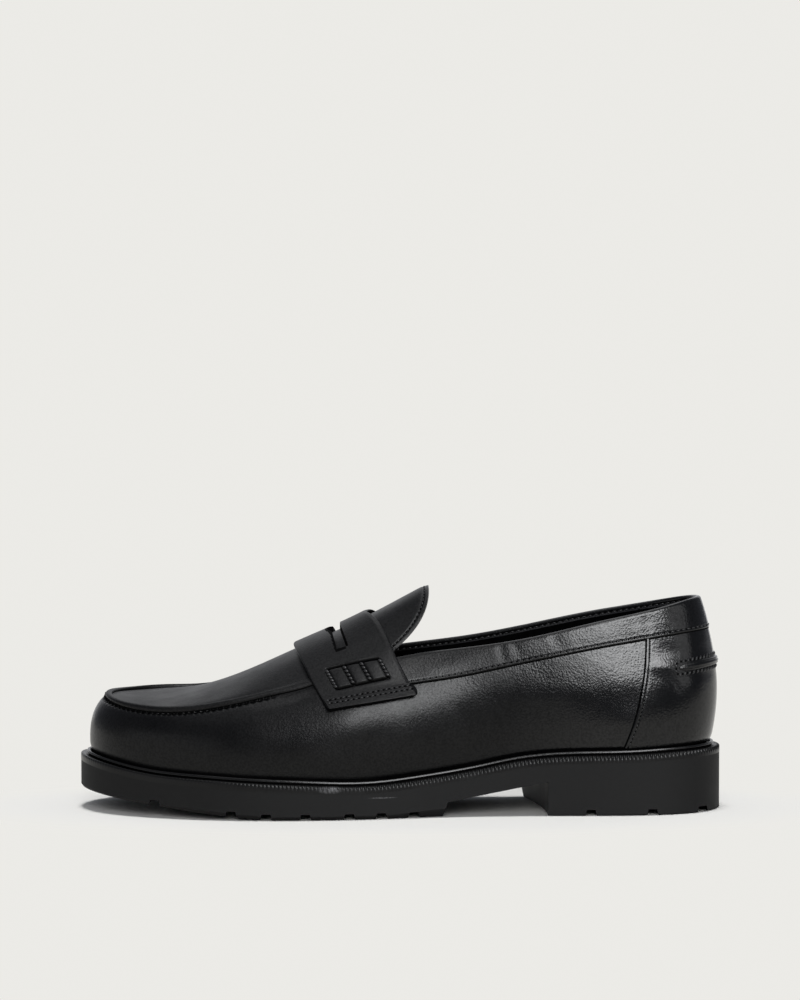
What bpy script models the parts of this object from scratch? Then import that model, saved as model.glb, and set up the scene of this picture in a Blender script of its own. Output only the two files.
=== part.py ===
"""Penny loafer, left shoe: a slip-on with a raised apron seam, a slotted saddle strap and a lug sole.

The toe points along +X, the outer side of the foot is +Y and the floor is z = 0.
Sizes are worked out in millimetres and turned into metres when a mesh is made.
"""

import math

import bmesh
import bpy
import numpy as np

MM = 0.001
OBJECT_NAME = "loafer"

# Driving sizes
LAST_LENGTH = 291.0  # heel to toe along the line where upper and welt meet
BALL_WIDTH = 98.0  # across that line at the ball of the foot
COLLAR_HEIGHT = 99.0  # back of the collar above the floor
INSTEP_HEIGHT = 90.0  # instep under the rear edge of the strap
HEEL_SEAT = 30.0  # top of the welt at the heel
GAP = 0.3  # clearance between pieces that meet

# Colours and surfaces
UPPER_BLACK = (0.012, 0.012, 0.013)
INSOLE_BLACK = (0.018, 0.017, 0.016)
WELT_BLACK = (0.020, 0.020, 0.021)
SOLE_BLACK = (0.022, 0.022, 0.023)
UPPER_ROUGHNESS = 0.36
INSOLE_ROUGHNESS = 0.6
RUBBER_ROUGHNESS = 0.75
SHARP_ANGLE = 40.0  # edges steeper than this stay crisp

# Leather and sole thicknesses
WALL = 2.0
STRAP_THICKNESS = 2.6
TONGUE_THICKNESS = 2.0
TAB_THICKNESS = 1.7
INSOLE_THICKNESS = 3.5
WELT_FLANGE = 3.4
WELT_BEAD = 1.8
BEAD_WIDTH = 2.0
BEAD_BEVEL = 0.5
BEAD_SHOULDER = 0.8  # height of the bead's sides as a share of its middle
FLANGE_BEVEL = 0.7
SOLE_INSET = 0.4  # outsole edge behind the welt's edge

# Raised lip of the apron seam
LIP_HEIGHT = 1.6
LIP_WIDTH = 2.6
LIP_INNER_EDGE = 0.5
LIP_FADE = (50.0, 62.0)  # the lip grows from nothing to full height between these x
LIP_PROFILE = ((0.0, 0.0), (0.2, 0.9), (1.0, 1.0))  # share of its width, share of its height
LIP_ROOT = 0.94  # the wall's last row below the lip, as a share of the height up to the lip

# The last, a row for each section from heel to toe. Positions along are percent of LAST_LENGTH,
# widths to each side are percent of BALL_WIDTH, heights are percent of COLLAR_HEIGHT.
# The foot of the wall stands on the welt, its top is the collar behind and the apron seam in front.
# Flare is the wall's outward lean at its foot and arrival its slope at the top, in degrees.
SECTION_COLUMNS = (
    "name", "along", "outer", "inner", "top_along", "top_outer", "top_inner",
    "height_outer", "height_inner", "flare_outer", "flare_inner", "arrival", "margin",
)
SECTIONS = (
    ("heel_back", 0.0, 0.0, 0.0, 1.9, 0.0, 0.0, 100.0, 100.0, 13, 13, 72, 4.5),
    ("heel_turn", 3.5, 21.5, 21.5, 4.5, 14.0, 14.0, 98.8, 98.8, 11, 11, 76, 4.4),
    ("heel_side", 10.0, 30.0, 30.0, 10.5, 22.5, 22.0, 94.8, 95.5, 8, 8, 80, 4.2),
    ("heel_front", 18.5, 32.5, 32.0, 18.5, 27.0, 26.0, 90.0, 91.3, 6, 8, 80, 4.0),
    ("waist_rear", 29.0, 33.0, 30.0, 29.0, 29.5, 28.0, 83.0, 84.8, 8, 16, 77, 4.0),
    ("waist", 39.0, 35.5, 28.0, 39.0, 30.5, 29.0, 78.5, 79.2, 10, 22, 72, 4.0),
    ("instep", 48.5, 41.0, 30.5, 48.5, 31.5, 30.0, 75.0, 75.5, 12, 22, 62, 4.0),
    ("ball_rear", 57.5, 47.0, 38.5, 57.5, 34.5, 33.0, 69.0, 70.5, 12, 16, 50, 4.1),
    ("ball", 66.5, 50.0, 46.5, 66.5, 37.5, 37.0, 60.8, 62.5, 9, 9, 42, 4.2),
    ("ball_front", 74.5, 49.5, 50.0, 74.5, 39.0, 40.0, 54.3, 57.2, 6, 5, 39, 4.2),
    ("toe_joint", 82.5, 45.0, 49.0, 82.0, 38.0, 40.0, 49.8, 54.0, 4, 3, 40, 4.3),
    ("toe_side", 90.0, 36.5, 41.5, 88.5, 32.5, 35.0, 48.6, 53.0, 3, 3, 40, 4.4),
    ("toe_turn", 96.0, 24.0, 29.0, 94.2, 21.5, 24.5, 50.0, 53.0, 4, 4, 38, 4.5),
    ("toe_tip", 100.0, -3.0, 3.0, 97.8, -2.5, 2.5, 53.4, 53.4, 4, 4, 35, 4.5),
)
THROAT_SECTION = "ball_rear"
CROWN_POWER = 2.4  # roundness of the instep across the foot
WALL_TENSION = 0.38  # fullness of the wall between its foot and its top

# Ridge of the instep and apron: percent along, height in percent of INSTEP_HEIGHT
CREST = (
    (40.0, 125.5), (48.5, 111.0), (57.5, 95.6), (66.5, 82.5), (74.5, 70.6),
    (82.0, 61.8), (88.5, 57.9), (94.2, 57.6), (97.8, 58.7),
)
# Top of the welt: percent along, height in percent of HEEL_SEAT
WELT_TOP = (
    (-2.0, 104.0), (6.0, 102.0), (13.0, 99.0), (24.0, 96.5), (31.5, 89.5), (37.5, 78.0),
    (46.0, 65.0), (55.0, 56.5), (64.0, 58.5), (74.5, 63.0), (83.0, 67.5), (89.5, 72.0),
    (95.5, 81.0), (102.0, 92.0),
)
# Walking surface from the ball to the toe: percent along, height in millimetres
TOE_SPRING = ((70.0, 0.0), (78.0, 1.8), (86.0, 4.4), (93.0, 6.9), (103.0, 10.5))

# Tread and heel
GROOVES = (-140.5, -116.5, -88.0, -6.5, 8.5, 23.0, 43.0, 61.0, 77.0, 112.5)
GROOVE_WIDTH = 4.0
GROOVE_DEPTH = 2.6
GROOVE_TAPER = 0.6
BREAST_MIDDLE = -63.0  # front face of the heel block on the centre line
BREAST_SLANT = 0.145  # the inner corner lies further forward
BREAST_HOLLOW = 2.5  # the face is hollow by this much between its corners
BREAST_LIMIT = 1.3  # the slant runs on to this many half widths
HEEL_HALF_WIDTH = 35.0
ARCH_FRONT = -19.5  # rear end of the forefoot tread
ARCH_CHAMFER = 2.5
ARCH_LOW = 6.7
ARCH_HIGH = 14.5

# Strap: its edges on the ridge, how far they run back towards the ends, and the ends' heights
STRAP_FRONT = 49.5
STRAP_REAR = 14.8
STRAP_FRONT_SWEEP = 16.7
STRAP_REAR_SWEEP = 21.3
STRAP_SWEEP_POWER = 1.5
STRAP_END_FRONT_HEIGHT = 49.5
STRAP_END_REAR_HEIGHT = 56.0
STRAP_DECK_SHARE = 0.7  # share of the half strap that lies above the seam
SLOT_HALF_LENGTH = 28.3
SLOT_MIDDLE = 30.3
SLOT_SWEEP = 3.8
SLOT_HALF_WIDTH = 2.1
SLOT_END_WIDENING = 0.55
SLOT_POINT_DEPTH = 4.5  # the slot's front edge runs forward to a rounded point on the ridge
SLOT_POINT_HALF_WIDTH = 13.0

# Tongue and heel tab
TONGUE_TIP = -13.5
TONGUE_CORNER_POWER = 6.0
TONGUE_CORNER_DROP = 24.0
TONGUE_TUCK = WALL + 0.5
TONGUE_TUCK_POWER = 4.0
TAB_HEIGHT_MIDDLE = 69.2
TAB_HEIGHT_END = 67.6
TAB_HALF_HEIGHT = 2.6
TAB_END_X = -129.0
TAB_WALL_SHARE = 0.55  # height share of the wall at which the tab ends

# Mesh fineness
COLUMNS_PER_SECTION = 3
WALL_ROWS = 9
DECK_COLUMNS = 12
BED_STEPS = 48
ARCH_SLICES = 13
STRAP_ROWS = 7
STRAP_END_COLUMNS = 7
STRAP_TOP_COLUMNS = 19
SLOT_STEPS = 21
TONGUE_ROWS = 9
TONGUE_COLUMNS = 17
TAB_RISES = (-1.0, 0.0, 1.0)  # rows of the tab, in half heights from its middle
TAB_COLUMNS = 19
SEARCH_STEPS = 200
TANGENT_REACH = 0.5

# How far the cutting bodies run past the shoe
PROFILE_REACH = 165.0
SIDE_REACH = 90.0
CUT_LOW = -20.0
CUT_HIGH = 140.0


def along(percent):
    """Position on X of a percentage of the last's length."""
    return (np.asarray(percent, float) / 100.0 - 0.5) * LAST_LENGTH


def spline(knots, values, period=None):
    """Cubic spline with continuous curvature, closed when a period is given and natural otherwise."""
    knots = np.asarray(knots, float)
    values = np.asarray(values, float)
    count = len(knots)
    if period:
        knots = np.append(knots, knots[0] + period)
        values = np.concatenate([values, values[:1]])
    step = np.diff(knots)
    slope = (np.diff(values, axis=0).T / step).T
    system = np.eye(count)
    bend = np.zeros((count,) + values.shape[1:])
    for i in range(count if period else count - 1):
        if i == 0 and not period:
            continue
        before = (i - 1) % len(step)
        system[i, i] = 2.0 * (step[before] + step[i])
        system[i, (i - 1) % count] = step[before]
        system[i, (i + 1) % count] = step[i]
        bend[i] = 6.0 * (slope[i] - slope[before])
    second = np.linalg.solve(system, bend)
    if period:
        second = np.concatenate([second, second[:1]])

    def at(t):
        t = np.asarray(t, float)
        t = knots[0] + np.mod(t - knots[0], period) if period else np.clip(t, knots[0], knots[-1])
        i = np.clip(np.searchsorted(knots, t, side="right") - 1, 0, len(step) - 1)
        h = step[i]
        a = (knots[i + 1] - t) / h
        b = 1.0 - a
        line = (a * values[i].T + b * values[i + 1].T).T
        cubic = ((a**3 - a) * h**2 * second[i].T + (b**3 - b) * h**2 * second[i + 1].T).T
        return line + cubic / 6.0

    return at


RING_COLUMNS = ("foot_x", "foot_y", "top_x", "top_y", "top_z", "flare", "arrival", "margin")


def side_row(row, side):
    """One section's values on one side of the foot: +1 is the outer side, -1 the inner."""
    part = dict(zip(SECTION_COLUMNS, row))
    face = "outer" if side > 0 else "inner"
    return (
        along(part["along"]), side * part[face] * BALL_WIDTH / 100.0,
        along(part["top_along"]), side * part["top_" + face] * BALL_WIDTH / 100.0,
        part["height_" + face] * COLLAR_HEIGHT / 100.0,
        part["flare_" + face], part["arrival"], part["margin"],
    )


SECTION_COUNT = len(SECTIONS) - 1
RING_ROWS = np.array(
    [side_row(row, 1.0) for row in SECTIONS] + [side_row(row, -1.0) for row in SECTIONS[-2:0:-1]]
)
CHORDS = np.hypot(*np.diff(np.vstack([RING_ROWS, RING_ROWS[:1]])[:, :2], axis=0).T)
RING_KNOTS = np.concatenate([[0.0], np.cumsum(CHORDS)[:-1]])
RING_LENGTH = CHORDS.sum()
ring = spline(RING_KNOTS, RING_ROWS, RING_LENGTH)
crest_height = spline(*np.array([(along(a), h * INSTEP_HEIGHT / 100.0) for a, h in CREST]).T)
welt_top = spline(*np.array([(along(a), h * HEEL_SEAT / 100.0) for a, h in WELT_TOP]).T)
toe_spring = spline(*np.array([(along(a), h) for a, h in TOE_SPRING]).T)


def bed(x):
    """Top of the outsole, under the welt."""
    return welt_top(x) - WELT_BEAD - WELT_FLANGE - GAP


def ring_place(section, side):
    """Place round the ring of a section number, which may lie between two sections."""
    numbers = np.arange(SECTION_COUNT + 1)
    knots = RING_KNOTS[: SECTION_COUNT + 1]
    if side < 0:
        knots = np.append(RING_LENGTH, RING_KNOTS[:SECTION_COUNT:-1])
        knots = np.append(knots, RING_KNOTS[SECTION_COUNT])
    return np.interp(section, numbers, knots)


def section_at(x):
    """Section number at a position along the middle of the foot."""
    return np.interp(x, along([row[1] for row in SECTIONS]), np.arange(SECTION_COUNT + 1))


def outward(t, first):
    """Level unit vector pointing out of the ring's foot line (first=0) or top line (first=2)."""
    run = (ring(t + TANGENT_REACH) - ring(t - TANGENT_REACH))[..., first : first + 2]
    run = run / np.linalg.norm(run, axis=-1, keepdims=True)
    return np.stack([-run[..., 1], run[..., 0], np.zeros_like(run[..., 0])], axis=-1)


def foot_line(t):
    """Where the upper leaves the welt."""
    part = ring(t)
    height = welt_top(part[..., 0]) + GAP
    return np.stack([part[..., 0], part[..., 1], height], axis=-1)


def wall_handles(t):
    """The four control points of the wall's cubic curve from its foot to its top."""
    part = dict(zip(RING_COLUMNS, np.moveaxis(ring(t), -1, 0)))
    up = np.array([0.0, 0.0, 1.0])
    foot = foot_line(t)
    top = np.stack([part["top_x"], part["top_y"], part["top_z"]], axis=-1)
    handle = (WALL_TENSION * np.linalg.norm(top - foot, axis=-1))[..., None]
    flare = np.radians(part["flare"])[..., None]
    arrival = np.radians(part["arrival"])[..., None]
    leave = up * np.cos(flare) + outward(t, 0) * np.sin(flare)
    arrive = up * np.sin(arrival) - outward(t, 2) * np.cos(arrival)
    return foot, foot + handle * leave, top - handle * arrive, top


def wall(t, v):
    """Outer face of the upper's wall at ring place t and height share v, from 0 at the welt to 1."""
    a, b, c, d = wall_handles(np.asarray(t, float))
    v = np.asarray(v, float)[..., None]
    return a * (1 - v) ** 3 + 3 * b * v * (1 - v) ** 2 + 3 * c * v**2 * (1 - v) + d * v**3


def wall_share_at(t, height):
    """Height share at which the wall at one ring place reaches a height above the floor."""
    shares = np.linspace(0.0, 1.0, SEARCH_STEPS)
    return np.interp(height, wall(np.full(SEARCH_STEPS, t), shares)[:, 2], shares)


def deck(section, across):
    """Apron and instep surface: across runs from -1 at the outer seam to +1 at the inner seam."""
    outer = ring(ring_place(section, 1))[..., 2:5]
    inner = ring(ring_place(section, -1))[..., 2:5]
    share = ((np.asarray(across, float) + 1.0) / 2.0)[..., None]
    point = outer * (1 - share) + inner * share
    middle = (outer + inner) / 2.0
    crown = crest_height(middle[..., 0]) - middle[..., 2]
    point[..., 2] += crown * (1.0 - np.abs(across) ** CROWN_POWER)
    return point


def normals_of(points, faces):
    """Unit normal at each point, from the faces round it."""
    found = np.zeros_like(points)
    for face in faces:
        corners = points[list(face)]
        flat = np.cross(corners[2] - corners[0], corners[-1] - corners[1])
        for index in face:
            found[index] += flat
    return found / np.linalg.norm(found, axis=1, keepdims=True)


def grid_faces(rows, columns):
    """Quads of a grid of points stored row after row."""
    return [
        (r * columns + c, r * columns + c + 1, (r + 1) * columns + c + 1, (r + 1) * columns + c)
        for r in range(rows - 1)
        for c in range(columns - 1)
    ]


def add_object(name, points, faces, material=None):
    """New mesh object from points in millimetres, in the parts or, without a material, the cutters."""
    mesh = bpy.data.meshes.new(name)
    mesh.from_pydata((np.asarray(points, float) * MM).tolist(), [], [list(face) for face in faces])
    work = bmesh.new()
    work.from_mesh(mesh)
    bmesh.ops.recalc_face_normals(work, faces=work.faces)
    work.to_mesh(mesh)
    work.free()
    made = bpy.data.objects.new(name, mesh)
    if material:
        parts.objects.link(made)
        mesh.materials.append(material)
        mesh.shade_smooth()
        mesh.set_sharp_from_angle(angle=math.radians(SHARP_ANGLE))
    else:
        cutters.objects.link(made)
        made.hide_render = True
        made.display_type = "WIRE"
    return made


def boolean(target, cutter, operation):
    cut = target.modifiers.new(cutter.name, "BOOLEAN")
    cut.operation = operation
    cut.solver = "EXACT"
    cut.object = cutter


def prism(outline, low, high, axis):
    """Points and faces of an outline drawn in the other two axes and carried along one axis."""
    outline = np.asarray(outline, float)
    count = len(outline)
    ends = [np.insert(outline, axis, value, axis=1) for value in (low, high)]
    faces = [tuple(range(count)), tuple(range(2 * count - 1, count - 1, -1))]
    faces += [(i, (i + 1) % count, count + (i + 1) % count, count + i) for i in range(count)]
    return np.vstack(ends), faces


def solid_between(outer, inner, faces):
    """Closed shell between two skins that share one layout of faces."""
    count = len(outer)
    edges = {}
    for face in faces:
        for a, b in zip(face, face[1:] + face[:1]):
            edges[(a, b)] = edges.get((a, b), 0) + 1
    rim = [(a, b) for a, b in edges if (b, a) not in edges]
    shell = list(faces)
    shell += [tuple(index + count for index in reversed(face)) for face in faces]
    shell += [(b, a, a + count, b + count) for a, b in rim]
    return np.vstack([outer, inner]), shell


def ring_columns():
    """Ring places of the mesh columns: the outer side from heel to toe, then the inner side back."""
    steps = np.arange(SECTION_COUNT * COLUMNS_PER_SECTION + 1) / COLUMNS_PER_SECTION
    return np.concatenate([ring_place(steps, 1), ring_place(steps[-2:0:-1], -1)])


def outline(offset_from_foot, with_margin):
    """Plan outline round the foot line, moved out by an offset and, if asked, by the welt's margin."""
    t = ring_columns()
    foot = foot_line(t)
    move = offset_from_foot + (ring(t)[:, -1] if with_margin else 0.0)
    return (foot + outward(t, 0) * np.reshape(move, (-1, 1)))[:, :2]


def plain_material(name, colour, roughness):
    """Principled material of one colour."""
    made = bpy.data.materials.new(name)
    made.use_nodes = True
    shader = made.node_tree.nodes["Principled BSDF"]
    shader.inputs["Base Color"].default_value = (*colour, 1.0)
    shader.inputs["Roughness"].default_value = roughness
    shader.inputs["Metallic"].default_value = 0.0
    return made


def crossed(name, plan, side, material):
    """Solid that has one outline from above and another from the side."""
    made = add_object(name, *prism(plan, CUT_LOW, CUT_HIGH, 2), material)
    boolean(made, add_object(name + "_side", *prism(side, -SIDE_REACH, SIDE_REACH, 1)), "INTERSECT")
    return made


def tread_line():
    """Side view of the walking surface from heel to toe, with the cross grooves in it."""
    half = GROOVE_WIDTH / 2.0
    points = [(-PROFILE_REACH, 0.0)]
    for middle in GROOVES:
        low = float(toe_spring(middle))
        points += [
            (middle - half - GROOVE_TAPER, float(toe_spring(middle - half - GROOVE_TAPER))),
            (middle - half, low + GROOVE_DEPTH),
            (middle + half, low + GROOVE_DEPTH),
            (middle + half + GROOVE_TAPER, float(toe_spring(middle + half + GROOVE_TAPER))),
        ]
    points += [(float(along(a)), h) for a, h in TOE_SPRING]
    points.append((PROFILE_REACH, float(toe_spring(PROFILE_REACH))))
    return sorted(points)


def make_outsole():
    """One moulded unit with heel block, arch, toe spring and lugs."""
    x = np.linspace(PROFILE_REACH, -PROFILE_REACH, BED_STEPS)
    side = tread_line() + list(zip(x, bed(x)))
    rubber = plain_material("sole_rubber", SOLE_BLACK, RUBBER_ROUGHNESS)
    made = crossed("outsole", outline(-SOLE_INSET, True), side, rubber)
    boolean(made, make_arch_cutter(), "DIFFERENCE")


def make_arch_cutter():
    """Space under the waist, between a slanted hollow heel breast and the rear of the tread."""
    sections = []
    for y in np.linspace(-SIDE_REACH, SIDE_REACH, ARCH_SLICES):
        share = float(np.clip(y / HEEL_HALF_WIDTH, -BREAST_LIMIT, BREAST_LIMIT))
        breast = BREAST_MIDDLE - BREAST_SLANT * HEEL_HALF_WIDTH * share
        breast -= BREAST_HOLLOW * max(0.0, 1.0 - share**2)
        slope = (ARCH_HIGH - ARCH_LOW) / (ARCH_FRONT - ARCH_CHAMFER - BREAST_MIDDLE)
        roof = ARCH_LOW + slope * (ARCH_FRONT - ARCH_CHAMFER - breast)
        sections += [
            (breast, y, CUT_LOW), (breast, y, roof),
            (ARCH_FRONT - ARCH_CHAMFER, y, ARCH_LOW), (ARCH_FRONT, y, 0.0), (ARCH_FRONT, y, CUT_LOW),
        ]
    count = ARCH_SLICES
    corners = len(sections) // count
    faces = [tuple(range(corners)), tuple(range((count - 1) * corners, count * corners))[::-1]]
    for s in range(count - 1):
        for c in range(corners):
            d = (c + 1) % corners
            faces.append((s * corners + c, s * corners + d, (s + 1) * corners + d, (s + 1) * corners + c))
    return add_object("arch_cutter", sections, faces)


def make_welt():
    """Flange on the sole's edge with a raised bead against the upper."""
    t = ring_columns()
    foot = foot_line(t)
    out = outward(t, 0)
    edge = ring(t)[:, -1]
    inside = np.full_like(edge, GAP)
    shoulder = WELT_FLANGE + WELT_BEAD * BEAD_SHOULDER
    section = (
        (inside, 0.0),
        (edge - FLANGE_BEVEL, 0.0),
        (edge, FLANGE_BEVEL),
        (edge, WELT_FLANGE - FLANGE_BEVEL),
        (edge - FLANGE_BEVEL, WELT_FLANGE),
        (inside + BEAD_WIDTH, WELT_FLANGE),
        (inside + BEAD_WIDTH - BEAD_BEVEL, shoulder),
        (inside + BEAD_BEVEL, WELT_FLANGE + WELT_BEAD),
        (inside, shoulder),
    )
    rows = []
    for reach, rise in section:
        row = foot + out * reach[:, None]
        row[:, 2] = bed(row[:, 0]) + GAP + rise
        rows.append(row)
    points = np.stack(rows, axis=1).reshape(-1, 3)
    around, sides = len(t), len(section)
    faces = []
    for i in range(around):
        j = (i + 1) % around
        for c in range(sides):
            d = (c + 1) % sides
            faces.append((i * sides + c, i * sides + d, j * sides + d, j * sides + c))
    add_object("welt", points, faces, plain_material("welt_rubber", WELT_BLACK, RUBBER_ROUGHNESS))


def make_insole():
    """Footbed board inside the upper."""
    x = np.linspace(-PROFILE_REACH, PROFILE_REACH, BED_STEPS)
    low = np.column_stack([x, bed(x) + GAP])
    high = low + (0.0, INSOLE_THICKNESS)
    board = plain_material("insole_leather", INSOLE_BLACK, INSOLE_ROUGHNESS)
    crossed("insole", outline(-WALL - GAP, False), np.vstack([low, high[::-1]]), board)


def upper_surface():
    """Outer face of the upper without its lip: points, faces and the lip's share at each point."""
    t = ring_columns()
    around = len(t)
    half = around // 2
    length = np.linalg.norm(wall_handles(t)[3] - wall_handles(t)[2], axis=1)
    lip_start = 1.0 - LIP_WIDTH / (3.0 * length)
    fade = np.clip((ring(t)[:, 2] - LIP_FADE[0]) / (LIP_FADE[1] - LIP_FADE[0]), 0.0, 1.0)
    skirt = foot_line(t)
    skirt[:, 2] = bed(skirt[:, 0]) + GAP
    rows = [skirt]
    raised = [0.0 * fade]
    for share in np.linspace(0.0, LIP_ROOT, WALL_ROWS):
        rows.append(wall(t, share * lip_start))
        raised.append(0.0 * fade)
    for share, rise in LIP_PROFILE:
        rows.append(wall(t, lip_start + share * (1.0 - lip_start)))
        raised.append(rise * fade)
    tall = len(rows)
    points = [point for column in range(around) for point in (row[column] for row in rows)]
    lift = [value[column] for column in range(around) for value in raised]
    faces = []
    for c in range(around):
        d = (c + 1) % around
        for r in range(tall - 1):
            faces.append((c * tall + r, c * tall + r + 1, d * tall + r + 1, d * tall + r))
    throat = [row[0] for row in SECTIONS].index(THROAT_SECTION) * COLUMNS_PER_SECTION
    previous = None
    for column in range(throat, half):
        section = column / COLUMNS_PER_SECTION
        width = np.linalg.norm(deck(section, -1.0) - deck(section, 1.0))
        inset = 1.0 - 2.0 * LIP_INNER_EDGE / width
        row = [column * tall + tall - 1]
        for across in np.linspace(-inset, inset, DECK_COLUMNS - 1):
            row.append(len(points))
            points.append(deck(section, across))
            lift.append(0.0)
        row.append((around - column) * tall + tall - 1)
        if previous:
            faces += [
                (previous[i], previous[i + 1], row[i + 1], row[i]) for i in range(DECK_COLUMNS)
            ]
        previous = row
    tip = half * tall + tall - 1
    faces += [(previous[i], previous[i + 1], tip) for i in range(DECK_COLUMNS)]
    return np.array(points), faces, np.array(lift)


def make_upper():
    """Vamp, quarters and apron as one wall, open at the collar, the throat and underneath."""
    points, faces, lift = upper_surface()
    normal = normals_of(points, faces)
    outer = points + normal * (lift * LIP_HEIGHT)[:, None]
    inner = points - normal * WALL
    leather = plain_material("upper_leather", UPPER_BLACK, UPPER_ROUGHNESS)
    add_object("upper", *solid_between(outer, inner, faces), leather)


def patch_solid(name, points, rows, low, thickness):
    """Leather over a patch of the upper's own surface, from a height above it."""
    faces = grid_faces(rows, len(points) // rows)
    normal = normals_of(points, faces)
    inner = points + normal * np.reshape(low, (-1, 1))
    leather = plain_material(name + "_leather", UPPER_BLACK, UPPER_ROUGHNESS)
    return add_object(name, *solid_between(inner + normal * thickness, inner, faces), leather)


def strap_point(across, share):
    """Point of the upper under the strap: across from -1 at the outer end, share from front to rear."""
    sweep = abs(across) ** STRAP_SWEEP_POWER
    front = STRAP_FRONT - STRAP_FRONT_SWEEP * sweep
    rear = STRAP_REAR - STRAP_REAR_SWEEP * sweep
    section = section_at(front + (rear - front) * share)
    if abs(across) <= STRAP_DECK_SHARE:
        return deck(section, across / STRAP_DECK_SHARE)
    t = float(ring_place(section, -np.sign(across)))
    down = (abs(across) - STRAP_DECK_SHARE) / (1.0 - STRAP_DECK_SHARE)
    end_height = STRAP_END_FRONT_HEIGHT + (STRAP_END_REAR_HEIGHT - STRAP_END_FRONT_HEIGHT) * share
    top = float(ring(t)[4])
    return wall(t, wall_share_at(t, top + (end_height - top) * down))


def make_strap():
    """Saddle strap over the instep with the coin slot cut through it."""
    across = np.concatenate([
        np.linspace(-1.0, -STRAP_DECK_SHARE, STRAP_END_COLUMNS)[:-1],
        np.linspace(-STRAP_DECK_SHARE, STRAP_DECK_SHARE, STRAP_TOP_COLUMNS),
        np.linspace(STRAP_DECK_SHARE, 1.0, STRAP_END_COLUMNS)[1:],
    ])
    share = np.linspace(1.0, 0.0, STRAP_ROWS)
    points = np.array([strap_point(a, s) for s in share for a in across])
    made = patch_solid("strap", points, STRAP_ROWS, np.full(len(points), GAP), STRAP_THICKNESS)
    y = np.linspace(-SLOT_HALF_LENGTH, SLOT_HALF_LENGTH, SLOT_STEPS)
    bow = (y / SLOT_HALF_LENGTH) ** 2
    middle = SLOT_MIDDLE - SLOT_SWEEP * bow
    half = SLOT_HALF_WIDTH + SLOT_END_WIDENING * bow
    front = middle + half + SLOT_POINT_DEPTH * np.clip(1.0 - (y / SLOT_POINT_HALF_WIDTH) ** 2, 0.0, None)
    slot = np.vstack([np.column_stack([front, y]), np.column_stack([middle - half, y])[::-1]])
    boolean(made, add_object("slot_cutter", *prism(slot, CUT_LOW, CUT_HIGH, 2)), "DIFFERENCE")


def make_tongue():
    """Tongue from the throat to its rounded tip, its sides tucked inside the collar."""
    start = float(along(dict((row[0], row[1]) for row in SECTIONS)[THROAT_SECTION])) - GAP
    across = np.linspace(-1.0, 1.0, TONGUE_COLUMNS)
    share = np.linspace(1.0, 0.0, TONGUE_ROWS)
    end = TONGUE_TIP + TONGUE_CORNER_DROP * np.abs(across) ** TONGUE_CORNER_POWER
    points = np.array([
        deck(section_at(start + (e - start) * s), a) for s in share for a, e in zip(across, end)
    ])
    tuck = np.tile(TONGUE_TUCK * np.abs(across) ** TONGUE_TUCK_POWER, TONGUE_ROWS)
    patch_solid("tongue", points, TONGUE_ROWS, -TONGUE_THICKNESS - tuck, TONGUE_THICKNESS)


def make_heel_tab():
    """Short strip across the back of the heel."""
    steps = np.linspace(0.0, SECTION_COUNT, SEARCH_STEPS)
    reach = float(np.interp(TAB_END_X, wall(ring_place(steps, 1), TAB_WALL_SHARE)[:, 0], steps))
    places = np.linspace(-reach, reach, TAB_COLUMNS)
    points = []
    for rise in TAB_RISES:
        for place in places:
            t = float(ring_place(abs(place), -np.sign(place)))
            bow = (place / reach) ** 2
            height = TAB_HEIGHT_MIDDLE + (TAB_HEIGHT_END - TAB_HEIGHT_MIDDLE) * bow
            points.append(wall(t, wall_share_at(t, height + rise * TAB_HALF_HEIGHT)))
    low = np.full(len(points), GAP)
    patch_solid("heel_tab", np.array(points), len(TAB_RISES), low, TAB_THICKNESS)


for leftover in list(bpy.data.objects):
    bpy.data.objects.remove(leftover)
parts = bpy.data.collections.new(OBJECT_NAME)
cutters = bpy.data.collections.new(OBJECT_NAME + "_cutters")
for group in (parts, cutters):
    bpy.context.scene.collection.children.link(group)

make_outsole()
make_welt()
make_insole()
make_upper()
make_tongue()
make_strap()
make_heel_tab()
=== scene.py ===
import math

import bpy
import numpy as np
from mathutils import Matrix


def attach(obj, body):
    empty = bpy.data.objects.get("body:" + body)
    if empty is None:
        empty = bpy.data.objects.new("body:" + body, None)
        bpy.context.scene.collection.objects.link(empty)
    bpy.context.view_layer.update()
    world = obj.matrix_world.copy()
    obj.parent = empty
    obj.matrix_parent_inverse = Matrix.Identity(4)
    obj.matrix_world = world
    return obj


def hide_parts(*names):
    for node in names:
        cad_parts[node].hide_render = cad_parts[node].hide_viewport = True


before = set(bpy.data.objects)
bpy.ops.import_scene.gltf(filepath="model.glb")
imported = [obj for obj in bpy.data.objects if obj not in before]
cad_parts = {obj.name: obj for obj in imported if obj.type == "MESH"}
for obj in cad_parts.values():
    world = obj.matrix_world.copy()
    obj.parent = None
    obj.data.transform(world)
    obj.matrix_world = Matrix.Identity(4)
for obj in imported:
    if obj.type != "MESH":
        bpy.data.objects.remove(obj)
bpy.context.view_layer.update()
print("frame loaded:", ", ".join(sorted(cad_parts)))

mm = 0.001

# the last, in millimetres: toe along +X, outer side of the foot +Y, floor z = 0
last = {
    "length": 291.0,  # where upper and welt meet
    "ballWidth": 98.0,
    "collarHeight": 99.0,
    "instepHeight": 90.0,
    "heelSeat": 30.0,
    "gap": 0.3,
    "flange": 3.4,  # welt under its bead
    "bead": 1.8,
    "fullness": 0.38,  # of the wall between foot and top
    "crownPower": 2.4,
}
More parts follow.
